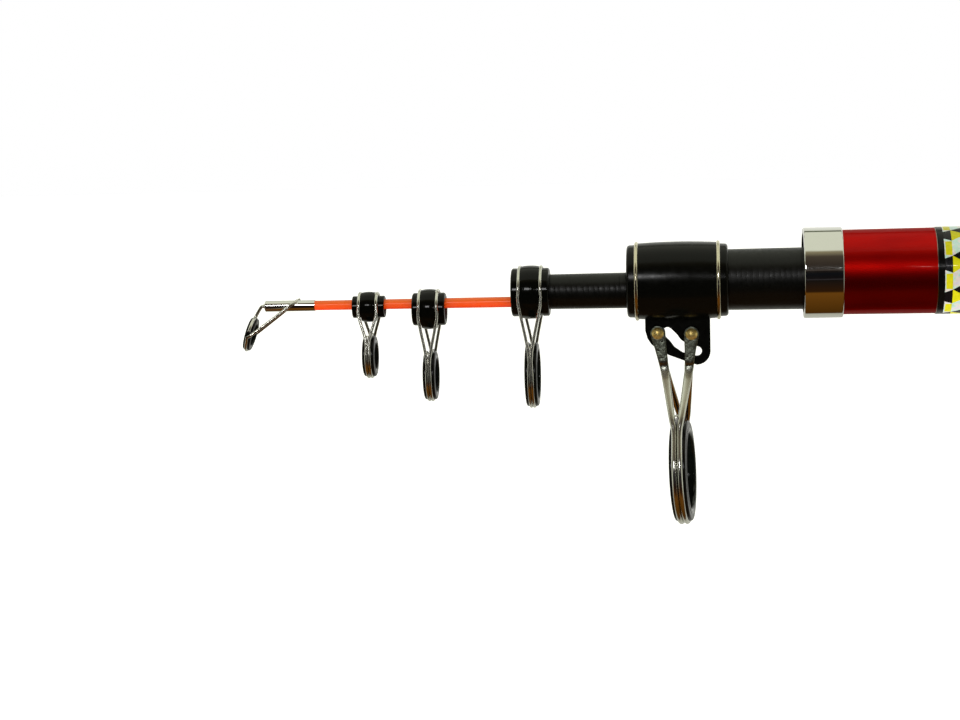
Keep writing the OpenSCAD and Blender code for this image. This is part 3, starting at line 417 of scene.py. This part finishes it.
def moulding(name, smoothest, roughest):
    """Gloss black moulded plastic, with faint flow marks."""
    made = finish(name, (0.0015, 0.0016, 0.001), 0.0, 0.1, Specular_IOR_Level=0.18)
    marks = cloud(made, place(made, 0.7, 0.7, 0.7), 4.0)
    feed(made, "Roughness", between(made, marks, smoothest, roughest))
    relief(made, cloud(made, place(made, 0.35, 0.35, 0.35), 1.0), 0.02)
    relief(made, cloud(made, place(made, 6, 6, 6), 2.0), 0.0012)
    return made


paint(moulding("satin_gloss_moulding", 0.16, 0.26), "stripper_collar")

trim_brass = finish("trim_brass", (0.72, 0.67, 0.5), 1.0, 0.16)
feed(trim_brass, "Roughness", between(trim_brass, cloud(trim_brass, place(trim_brass, 2, 2, 2)), 0.1, 0.28))
relief(trim_brass, cloud(trim_brass, place(trim_brass, 3, 3, 3)), 0.01)
paint(trim_brass, "stripper_rear_trim", "stripper_front_trim")

enamel = finish("black_enamel", (0.002, 0.002, 0.0015), 0.0, 0.18, Specular_IOR_Level=0.2)
feed(enamel, "Roughness", between(enamel, cloud(enamel, place(enamel, 0.8, 0.8, 0.8)), 0.12, 0.26))
relief(enamel, cloud(enamel, place(enamel, 1.1, 1.1, 1.1), 2.0), 0.02)
paint(enamel, "stripper_plate")

# ---- Stripper guide's frame ----
# Two stainless wires carry the ring. Each is bent round the ring in its groove, brought up as two
# legs, hammered flat into paddles and riveted through the plate with brass. Silver solder joins them.
STRIPPER_S = 479.7
RING_CENTRE = Vector((-479.2, 0, -47.07))
RING_TWIST = math.radians(5.5)
RING_LEAN = math.radians(2.0)
FRAME_WIRE_D = 1.3
FRAME_LOOP_R = 12.15
PLATE_T = 1.3
PADDLE_T = 0.6
PADDLE_R = 1.8
LEG_W = 1.05
FOOT_DROP = 21.8
WIRE_GAP = 0.02
# Where a leg comes in to the ring, as (y, z) in the ring's own frame, and its distance u off the middle
LEG_END = (7.2, 13.8)
LEG_END_U = 1.15
BEND = (8.6, 10.4)


def in_ring(u, y, z):
    """A point of the ring's own frame: u along the rod towards the butt, z up, in row millimetres."""
    c, s = math.cos(RING_LEAN), math.sin(RING_LEAN)
    u, z = u * c - z * s, u * s + z * c
    c, s = math.cos(RING_TWIST), math.sin(RING_TWIST)
    return RING_CENTRE + Vector((u * c + y * s, -u * s + y * c, z))


def smooth_line(points, cuts, closed=False):
    """Points of a smooth line through the given ones; each may carry sizes after its place."""
    n, line = len(points), []
    for i in range(n if closed else n - 1):
        p = [points[(i + k) % n] if closed else points[min(max(i + k, 0), n - 1)] for k in (-1, 0, 1, 2)]
        for c in range(cuts):
            t = c / cuts
            w = (-t + 2 * t**2 - t**3, 2 - 5 * t**2 + 3 * t**3, t + 4 * t**2 - 3 * t**3, t**3 - t**2)
            line.append([sum(w[k] * p[k][j] for k in range(4)) / 2 for j in range(len(p[0]))])
    if not closed:
        line.append(list(points[-1]))
    return line


def swept(line, ref, sides=20, closed=False):
    """A bar along a line of [x, y, z, half width, half thickness, squareness]; the width follows ref."""
    verts, faces, n = [], [], len(line)
    for i in range(n):
        here = Vector(line[i][:3])
        before = Vector(line[(i - 1) % n if closed else max(i - 1, 0)][:3])
        after = Vector(line[(i + 1) % n if closed else min(i + 1, n - 1)][:3])
        along = (after - before).normalized()
        wide = (ref - ref.dot(along) * along).normalized()
        thick = along.cross(wide)
        for k in range(sides):
            a = 2 * math.pi * (k + 0.5) / sides
            c, s = math.cos(a), math.sin(a)
            power = 2 / line[i][5]
            verts.append(here + wide * line[i][3] * math.copysign(abs(c) ** power, c)
                + thick * line[i][4] * math.copysign(abs(s) ** power, s))
    for i in range(n if closed else n - 1):
        j = (i + 1) % n
        for k in range(sides):
            m = (k + 1) % sides
            faces.append((i * sides + k, j * sides + k, j * sides + m, i * sides + m))
    if not closed:
        faces += [tuple(range(sides)), tuple((n - 1) * sides + k for k in range(sides))]
    return verts, faces


def joined(*parts):
    """Several meshes as one list of verts and one of faces."""
    verts, faces = [], []
    for part_verts, part_faces in parts:
        start = len(verts)
        verts += part_verts
        faces += [tuple(start + k for k in face) for face in part_faces]
    return verts, faces


def lump(centre, size, seed, rough=0.12, rows=14, around=20):
    """A blob of cooled solder: an uneven ball of half sizes size."""
    verts, faces = [Vector(centre) + Vector((0, 0, size[2]))], []
    for i in range(1, rows):
        for k in range(around):
            a, b = math.pi * i / rows, 2 * math.pi * k / around
            way = Vector((math.sin(a) * math.cos(b), math.sin(a) * math.sin(b), math.cos(a)))
            swell = 1 + rough * noise.noise(way * 1.7 + Vector((seed, 0, 0)))
            verts.append(Vector(centre) + Vector([way[j] * size[j] * swell for j in range(3)]))
    verts.append(Vector(centre) - Vector((0, 0, size[2])))
    last = len(verts) - 1
    for k in range(around):
        m = (k + 1) % around
        faces.append((0, 1 + k, 1 + m))
        faces.append((last, last - around + m, last - around + k))
        for i in range(rows - 2):
            top, low = 1 + i * around, 1 + (i + 1) * around
            faces.append((top + k, low + k, low + m, top + m))
    return verts, faces


def loop_angles(start, end, step=6.0):
    """Even angles in radians from start to end, which are in degrees."""
    n = math.ceil(abs(end - start) / step)
    return [math.radians(start + (end - start) * i / n) for i in range(n + 1)]


def stripper_wire(rivet_s, rivet_z, foot_s, side):
    """One frame wire; side is 1 at the butt and -1 at the tip."""
    r = FRAME_WIRE_D / 2
    head = Vector((-rivet_s, 0, SECTION_3_Z + rivet_z))
    foot = Vector((-foot_s, 0, SECTION_3_Z - FOOT_DROP))
    reach = (foot - head).length
    down = (foot - head) / reach
    paddle_y = PLATE_T / 2 + WIRE_GAP + PADDLE_T / 2
    shape = [(-PADDLE_R * math.sin(a), max(PADDLE_R * math.cos(a), 0.12), PADDLE_T / 2, 3.2)
        for a in (math.radians(88 - 11 * k) for k in range(9))]
    shape += [(0.22 * reach, 0.7 * PADDLE_R + 0.3 * LEG_W, PADDLE_T / 2, 3.2),
        (0.45 * reach, 0.4 * PADDLE_R + 0.6 * LEG_W, PADDLE_T / 2, 3.0),
        (0.72 * reach, 0.14 * PADDLE_R + 0.86 * LEG_W, 0.56 * r, 2.7), (reach, LEG_W, 0.7 * r, 2.5)]
    legs = []
    for m in (1, -1):
        leg = []
        for at, wide, thick, square in shape:
            q = head + at * down
            leg.append([q.x, m * (paddle_y + max(thick - PADDLE_T / 2, 0)), q.z, wide, thick, square])
        legs.append(leg)
    beside = side * (r + WIRE_GAP)
    way_in = [(side * LEG_END_U, *LEG_END), (beside, *BEND)]
    loop = [(beside, FRAME_LOOP_R * math.sin(a), FRAME_LOOP_R * math.cos(a))
        for a in loop_angles(66, 294, 8)]
    loop = way_in + loop + [(u, -y, z) for u, y, z in reversed(way_in)]
    middle = [[*in_ring(*p), r, r, 2.0] for p in loop]
    for end in (middle[0], middle[-1]):
        end[3:] = (LEG_W + 2 * r) / 3, r, 2.2
    return swept(smooth_line(legs[0] + middle + legs[1][::-1], 4), Vector((1, 0, 0)))


steel = finish("polished_stainless", (0.7, 0.7, 0.64), 1.0, 0.09)
feed(steel, "Base Color", shades(steel, cloud(steel, place(steel, 0.5, 0.5, 0.5), 3.0),
    (0.3, (0.62, 0.62, 0.56)), (0.7, (0.78, 0.77, 0.71))))
feed(steel, "Roughness", between(steel, cloud(steel, place(steel, 1.3, 1.3, 1.3), 5.0), 0.14, 0.24))
relief(steel, cloud(steel, place(steel, 0.7, 0.7, 0.4), 1.0), 0.002)

# The wire's roughness and dents follow its hammered part. Its colour is painted shade: polished steel at the
# ring, darkening to a greenish grey up the legs and over the paddles.
hammered_and_shaded = finish("hammered_stainless_painted_shade", (0.5, 0.52, 0.46), 1.0, 0.3)
height = node(hammered_and_shaded, "SeparateXYZ", {0: place(hammered_and_shaded)}).outputs[2]
flat_part_and_painted_shade = node(hammered_and_shaded, "MapRange", {"Value": height, "From Min": -24.5, "From Max": -19.0}).outputs[0]
dents = cloud(hammered_and_shaded, place(hammered_and_shaded, 1.3, 1.3, 1.3), 3.0)
feed(hammered_and_shaded, "Roughness", node(hammered_and_shaded, "MapRange",
    {"Value": flat_part_and_painted_shade, "To Min": 0.2, "To Max": between(hammered_and_shaded, dents, 0.36, 0.52)}).outputs[0])
# Painted shade: the base colour darkens to greenish grey up the legs and over the paddles.
feed(hammered_and_shaded, "Base Color", shades(hammered_and_shaded, flat_part_and_painted_shade,
    (0.0, (0.7, 0.7, 0.64)), (0.6, (0.36, 0.39, 0.32)), (1.0, (0.26, 0.29, 0.23))))
deep = node(hammered_and_shaded, "Math", {0: dents, 1: flat_part_and_painted_shade}, operation="MULTIPLY").outputs[0]
relief(hammered_and_shaded, deep, 0.22)
piece("stripper_front_wire", "section_3", "wire_steel", hammered_and_shaded,
    *stripper_wire(STRIPPER_S + 4.9, -12.5, STRIPPER_S + 3.3, -1), replaces=["stripper_front_frame"])
piece("stripper_rear_wire", "section_3", "wire_steel", hammered_and_shaded,
    *stripper_wire(STRIPPER_S - 3.1, -12.8, STRIPPER_S - 2.3, 1), replaces=["stripper_rear_frame"])

solder = finish("silver_solder", (0.74, 0.74, 0.67), 1.0, 0.3)
feed(solder, "Roughness", between(solder, cloud(solder, place(solder, 2, 2, 2), 5.0), 0.24, 0.42))
relief(solder, cloud(solder, place(solder, 1.5, 1.5, 1.5), 2.0), 0.04)
piece("stripper_solder", "section_3", "wire_steel", solder, *joined(
    lump(in_ring(0, -7.7, 12.6), (1.1, 0.55, 1.9), 3.0), lump(in_ring(0, 7.7, 12.6), (1.1, 0.55, 1.9), 8.0)))

rivet_brass = finish("rivet_brass", (0.85, 0.62, 0.2), 0.85, 0.34)
feed(rivet_brass, "Base Color", shades(rivet_brass,
    cloud(rivet_brass, place(rivet_brass, 1.5, 1.5, 1.5), 4.0),
    (0.3, (0.74, 0.52, 0.13)), (0.7, (0.95, 0.74, 0.28))))
feed(rivet_brass, "Roughness", between(rivet_brass,
    cloud(rivet_brass, place(rivet_brass, 3, 3, 3)), 0.28, 0.42))
relief(rivet_brass, cloud(rivet_brass, place(rivet_brass, 2, 2, 2)), 0.03)
paint(rivet_brass, "stripper_rivets")

# ---- Rings and inserts ----
# Each ring is gloss black metal with a groove for its wires. A ceramic insert, fired and polished so
# that line runs over it without wear, is pressed into it.
ring_black = finish("ring_black", (0.003, 0.003, 0.002), 0.0, 0.2, Specular_IOR_Level=0.14)
feed(ring_black, "Roughness", between(ring_black, cloud(ring_black, place(ring_black, 1.2, 1.2, 1.2), 4.0),
    0.14, 0.28))
relief(ring_black, cloud(ring_black, place(ring_black, 0.9, 0.9, 0.9), 2.0), 0.012)
ceramic = finish("polished_ceramic", (0.004, 0.005, 0.004), 0.0, 0.1, Specular_IOR_Level=0.3)
feed(ceramic, "Roughness", between(ceramic, cloud(ceramic, place(ceramic, 1, 1, 1), 4.0), 0.04, 0.13))
relief(ceramic, cloud(ceramic, place(ceramic, 0.6, 0.6, 0.6), 2.0), 0.008)
for guide in ("stripper", "guide_3", "guide_2", "guide_1", "tip_top"):
    paint(ring_black, guide + "_ring")
    paint(ceramic, guide + "_insert")

# ---- Guides 3, 2 and 1 ----
# A moulded collar holds two stainless wire loops in grooves. Each loop comes down both sides, lies in
# the ring's groove and is butt-welded on top, where a small bead shows. Solder holds it to the ring.
GUIDE_WIRE_D = 0.75
GROOVE_DEPTH = 0.35
# How far above the ring the legs meet, as a share of the ring's diameter
MEET = 0.35
GUIDES = {
    # name: place along the rod, height, barrel length, barrel diameter, ring diameter, drop, body
    "guide_3": (514.85, SECTION_2_Z, 5.2, 12.85, 15.4, 19.8, "section_2"),
    "guide_2": (539.5, -7.02286, 4.3, 9.7, 11.75, 16.05, "guide_2"),
    "guide_1": (554.2, -6.2339, 4.2, 7.35, 9.9, 11.95, "guide_1"),
}


def leg_point(r, leave, t, m):
    """A point of a wire's straight leg, t past where it leaves the circle of radius r: (y, z)."""
    return (m * (r * math.sin(leave) + t * math.cos(leave)), r * math.cos(leave) - t * math.sin(leave))


def guide_loop(s, z, barrel_len, barrel_d, ring_d, drop, side):
    """One closed wire loop about the collar and the ring; side is 1 at the butt and -1 at the tip."""
    ra, rb, r = barrel_d / 2 - GROOVE_DEPTH, ring_d / 2 + 0.05, GUIDE_WIRE_D / 2
    leave = math.acos((rb - ra) / drop)
    turn = math.degrees(leave)
    u0, u1 = side * barrel_len / 2, side * (r + WIRE_GAP)
    clear = math.sqrt((barrel_d / 2 + r) ** 2 - ra**2) + 0.2
    line = [(u0, ra * math.sin(a), ra * math.cos(a)) for a in loop_angles(-turn, turn)]
    y, up = leg_point(ra, leave, clear, 1)
    line.append((u0, y, up))
    y, up = leg_point(rb, leave, -MEET * ring_d, 1)
    low = [(u1, y, up)] + [(u1, rb * math.sin(a), rb * math.cos(a)) for a in loop_angles(turn, 360 - turn)]
    low.append((u1, -y, up))
    line += [(u, y, up - drop) for u, y, up in low]
    y, up = leg_point(ra, leave, clear, -1)
    line.append((u0, y, up))
    line = smooth_line([[u - s, y, z + up, r, r, 2.0] for u, y, up in line], 3, closed=True)
    return swept(line, Vector((1, 0, 0)), 16, closed=True)


guide_black = moulding("gloss_moulding", 0.07, 0.14)
for guide, (s, z, barrel_len, barrel_d, ring_d, drop, body) in GUIDES.items():
    paint(guide_black, guide + "_collar")
    for end, side in (("front", -1), ("rear", 1)):
        loop = guide_loop(s, z, barrel_len, barrel_d, ring_d, drop, side)
        weld_a = math.radians(side * (14 if guide == "guide_3" else 24))
        weld_r = barrel_d / 2 - 0.3
        weld = lump((side * barrel_len / 2 - s, -weld_r * math.sin(weld_a), z + weld_r * math.cos(weld_a)),
            (0.5, 0.62, 0.46), 2.0 * side + s)
        name = f"{guide}_{end}_wire"
        piece(name + "_loop", body, "wire_steel", steel, *joined(loop, weld), replaces=[name])
    rb = ring_d / 2 + 0.05
    leave = math.acos((rb - barrel_d / 2 + GROOVE_DEPTH) / drop)
    tacks = []
    for m in (-1, 1):
        y, up = leg_point(rb, leave, -MEET * ring_d - 0.2, m)
        tacks.append(lump((-s, y, z - drop + up), (0.55, 0.3, 1.0), 5.0 + m + s))
    piece(guide + "_solder", body, "wire_steel", solder, *joined(*tacks))

sleeve = finish("sleeve_plastic", (0.03, 0.03, 0.028), 0.0, 0.4)
feed(sleeve, "Roughness", between(sleeve, cloud(sleeve, place(sleeve, 1, 1, 1)), 0.3, 0.5))
relief(sleeve, cloud(sleeve, place(sleeve, 3, 3, 3)), 0.01)
paint(sleeve, "guide_2_sleeve", "guide_1_sleeve")

# ---- Tip section ----
# The tip is one solid glass rod, ground to a taper and dipped in fluorescent orange lacquer, so that a
# bite shows against dark water.
TIP_Z = -5.675
PAINTED_SHADE_HALF = 1.5
# The emission is a painted glow, standing in for the lacquer's fluorescence.
orange = finish("fluorescent_orange_painted_shade_and_glow", (0.95, 0.09, 0.002), 0.0, 0.25, Specular_IOR_Level=0.3,
    Emission_Color=(1.0, 0.08, 0.001, 1), Emission_Strength=0.12)
# Painted shade and painted highlight: the colour runs from deep red under the tip to pale orange on top; the
# lengthwise streaks in it are the lacquer's own.
height = node(orange, "SeparateXYZ", {0: place(orange)}).outputs[2]
height = node(orange, "MapRange",
    {"Value": height, "From Min": TIP_Z - PAINTED_SHADE_HALF, "From Max": TIP_Z + PAINTED_SHADE_HALF}).outputs[0]
streaks = cloud(orange, place(orange, 0.06, 0.4, 0.4), 4.0)
height = node(orange, "Math", {0: streaks, 1: 0.1, 2: height}, operation="MULTIPLY_ADD").outputs[0]
feed(orange, "Base Color", shades(orange, height,
    (0.1, (0.62, 0.03, 0.004)), (0.4, (0.95, 0.075, 0.003)),
    (0.7, (1.0, 0.13, 0.012)), (1.0, (1.0, 0.24, 0.07))))
feed(orange, "Roughness", between(orange, cloud(orange, place(orange, 0.5, 1, 1)), 0.2, 0.32))
relief(orange, cloud(orange, place(orange, 0.3, 0.8, 0.8), 2.0), 0.02)
paint(orange, "tip_blank")

# ---- Tip top ----
# A chromed tube is cemented over the end of the tip. Its wire runs from the tube's nose round the ring
# and back to the tube's sides as two stays, all soldered.
TOP_REAR_S = 567.4
TOP_FRONT_S = 579.7
TOP_TUBE_R = 1.335
TOP_WIRE_D = 0.7
TOP_RING_R = 4.0
TOP_LOOP_R = 4.05
NOSE_Y = 0.37
TOP_CENTRE = Vector((-583.4, 0, -12.375))
TOP_LEAN = math.radians(17.0)


def by_top_ring(a, r=TOP_LOOP_R, u=0.0):
    """A point about the tip top's ring: a from the top towards +Y in degrees, u towards the butt."""
    y, z = r * math.sin(math.radians(a)), r * math.cos(math.radians(a))
    c, s = math.cos(TOP_LEAN), math.sin(TOP_LEAN)
    return TOP_CENTRE + Vector((u * c + z * s, y, z * c - u * s))


def tip_top_wires():
    """Two strands over the ring's top half, one loop with its stays, and the solder at the nose."""
    r = TOP_WIRE_D / 2
    over_r, over_u = TOP_RING_R + r + 0.07, 0.95
    wires = []
    for m in (-1, 1):
        line = [(-(TOP_FRONT_S - 1), m * NOSE_Y, TIP_Z), (-(TOP_FRONT_S + 0.6), m * NOSE_Y, TIP_Z),
            (-(TOP_FRONT_S + 1.1), m * NOSE_Y, TIP_Z - 0.35), by_top_ring(m * 6, over_r)]
        line += [by_top_ring(m * a) for a in range(14, 79, 8)]
        wires.append(swept(smooth_line([[*p, r, r, 2.0] for p in line], 4), Vector((0, 1, 0.3)), 14))
    start = [Vector((-(TOP_REAR_S + 4.0), TOP_TUBE_R + r + WIRE_GAP, TIP_Z + 1.5)),
        by_top_ring(84, over_r, over_u), by_top_ring(97, over_r)]
    line = start + [by_top_ring(a) for a in range(108, 253, 8)]
    line += [Vector((p.x, -p.y, p.z)) for p in reversed(start)]
    wires.append(swept(smooth_line([[*p, r, r, 2.0] for p in line], 4), Vector((1, 0, 0.2)), 14))
    wires.append(lump((-(TOP_FRONT_S + 0.15), 0, TIP_Z), (0.7, 0.62, 0.5), 4.0))
    return joined(*wires)


paint(chrome, "tip_top_tube")
piece("tip_top_wires", "tip", "wire_steel", steel, *tip_top_wires(), replaces=["tip_top_frame"])

# ---- Floor, lights and camera ----
# The rod is held up in front of a plain white sweep over a pale floor. A dark room lies behind the
# camera, a wooden table below it, a white ceiling above and white cards at the sides, all seen only as
# reflections.
FLOOR_Z = -0.25
ROOM = (
    # degrees from the camera's side over the top: 90 is up, 180 the sweep, -90 down; then the colour
    (-180, (0.6, 0.6, 0.56)), (-127, (0.5, 0.5, 0.42)), (-123, (0.07, 0.027, 0.003)),
    (-80, (0.12, 0.045, 0.005)), (-51, (0.16, 0.06, 0.007)), (-47, (0.03, 0.011, 0.003)),
    (-20, (0.012, 0.008, 0.006)), (-16, (0.008, 0.006, 0.005)), (-14.5, (0.05, 0.045, 0.05)),
    (-13, (0.008, 0.006, 0.006)), (0, (0.005, 0.006, 0.008)), (7, (0.014, 0.01, 0.008)),
    (9, (0.09, 0.07, 0.06)), (11, (0.02, 0.015, 0.012)), (20, (0.035, 0.026, 0.02)),
    (44, (0.07, 0.055, 0.04)), (57, (0.3, 0.26, 0.16)), (61, (0.78, 0.8, 0.66)),
    (127, (0.78, 0.8, 0.66)), (130, (0.1, 0.11, 0.07)), (134, (0.1, 0.11, 0.07)),
    (138, (0.78, 0.8, 0.7)), (180, (1.0, 1.0, 0.97)),
)


def room():
    """The room's light by direction. The camera itself sees only white."""
    world = bpy.data.worlds.new("white_room")
    bpy.context.scene.world = world
    world.use_nodes = True
    tree = world.node_tree
    tree.nodes.clear()

    def add(kind, inputs, **settings):
        new = tree.nodes.new("ShaderNode" + kind)
        for key, value in settings.items():
            setattr(new, key, value)
        for key, value in inputs.items():
            if isinstance(value, bpy.types.NodeSocket):
                tree.links.new(value, new.inputs[key])
            else:
                new.inputs[key].default_value = value
        return new

    way = add("SeparateXYZ", {0: add("TexCoord", {}).outputs["Generated"]}).outputs
    front = add("Math", {0: way[1], 1: -1.0}, operation="MULTIPLY").outputs[0]
    turn = add("Math", {0: way[2], 1: front}, operation="ARCTAN2").outputs[0]
    share = add("MapRange", {"Value": turn, "From Min": -math.pi, "From Max": math.pi}).outputs[0]
    ramp = add("ValToRGB", {"Fac": share})
    ramp.color_ramp.elements[0].position = 0.0
    ramp.color_ramp.elements[1].position = 1.0
    for at, _ in ROOM[1:-1]:
        ramp.color_ramp.elements.new((at + 180) / 360)
    for element, (_, colour) in zip(ramp.color_ramp.elements, ROOM):
        element.color = (*colour, 1)
    seen = add("Background", {"Color": (1, 1, 1, 1), "Strength": 1.0})
    side = add("Math", {0: way[0]}, operation="ABSOLUTE").outputs[0]
    beyond = add("MapRange", {"Value": side, "From Min": 0.86, "From Max": 0.97}).outputs[0]
    dark = add("Background", {"Color": ramp.outputs[0], "Strength": 1.0})
    card = add("Background", {"Color": (0.66, 0.67, 0.56, 1), "Strength": 1.0})
    mirrored = add("MixShader", {0: beyond, 1: dark.outputs[0], 2: card.outputs[0]})
    direct = add("LightPath", {}).outputs["Is Camera Ray"]
    both = add("MixShader", {0: direct, 1: mirrored.outputs[0], 2: seen.outputs[0]})
    tree.links.new(both.outputs[0], add("OutputWorld", {}).inputs[0])


room()

floor_paint = bpy.data.materials.new("pale_floor")
floor_paint.use_nodes = True
shader = floor_paint.node_tree.nodes["Principled BSDF"]
shader.inputs["Base Color"].default_value = (0.9, 0.9, 0.89, 1)
shader.inputs["Roughness"].default_value = 0.9
shader.inputs["Emission Color"].default_value = (1, 1, 1, 1)
shader.inputs["Emission Strength"].default_value = 0.7
mesh = bpy.data.meshes.new("floor")
mesh.from_pydata([(-20, -20, FLOOR_Z), (20, -20, FLOOR_Z), (20, 20, FLOOR_Z), (-20, 20, FLOOR_Z)], [],
    [(0, 1, 2, 3)])
mesh.materials.append(floor_paint)
floor = bpy.data.objects.new("floor", mesh)
bpy.context.scene.collection.objects.link(floor)
floor.visible_glossy = False


def lamp(name, at, target, width, height, radiance):
    """A soft box of even brightness that faces the target; lengths in metres."""
    light = bpy.data.lights.new(name, "AREA")
    light.shape = "RECTANGLE"
    light.size = width
    light.size_y = height
    light.energy = radiance * math.pi * width * height
    box = bpy.data.objects.new(name, light)
    box.location = at
    box.rotation_euler = (Vector(target) - Vector(at)).to_track_quat("-Z", "Y").to_euler()
    bpy.context.scene.collection.objects.link(box)
    box.visible_camera = False
    return light


lamp("window", (-0.66, -0.94, 0.29), (-0.52, 0, 0), 0.22, 0.12, 16.0)
lamp("slit", (-0.30, -0.97, 0.245), (-0.43, 0, 0), 0.10, 0.014, 40.0)

LENS_MM = 87.75
CAMERA_AT = Vector((-0.47155, -0.560, 0.02966))
YAW, PITCH, ROLL = math.radians(5.71), math.radians(5.0), math.radians(-1.3902)

camera = bpy.data.cameras.new("camera")
camera.lens = LENS_MM
camera.sensor_width = 36.0
camera.clip_start = 0.01
camera.dof.use_dof = False
view = bpy.data.objects.new("camera", camera)
bpy.context.scene.collection.objects.link(view)
bpy.context.scene.camera = view
ahead = Vector((-math.sin(YAW) * math.cos(PITCH), math.cos(YAW) * math.cos(PITCH), -math.sin(PITCH)))
right = Vector((math.cos(YAW), math.sin(YAW), 0))
up = right.cross(ahead)
rolled_right = math.cos(ROLL) * right + math.sin(ROLL) * up
rolled_up = -math.sin(ROLL) * right + math.cos(ROLL) * up
turn = Matrix((rolled_right, rolled_up, -ahead)).transposed()
view.matrix_world = Matrix.Translation(CAMERA_AT) @ turn.to_4x4()
bpy.context.scene.view_settings.view_transform = "Standard"
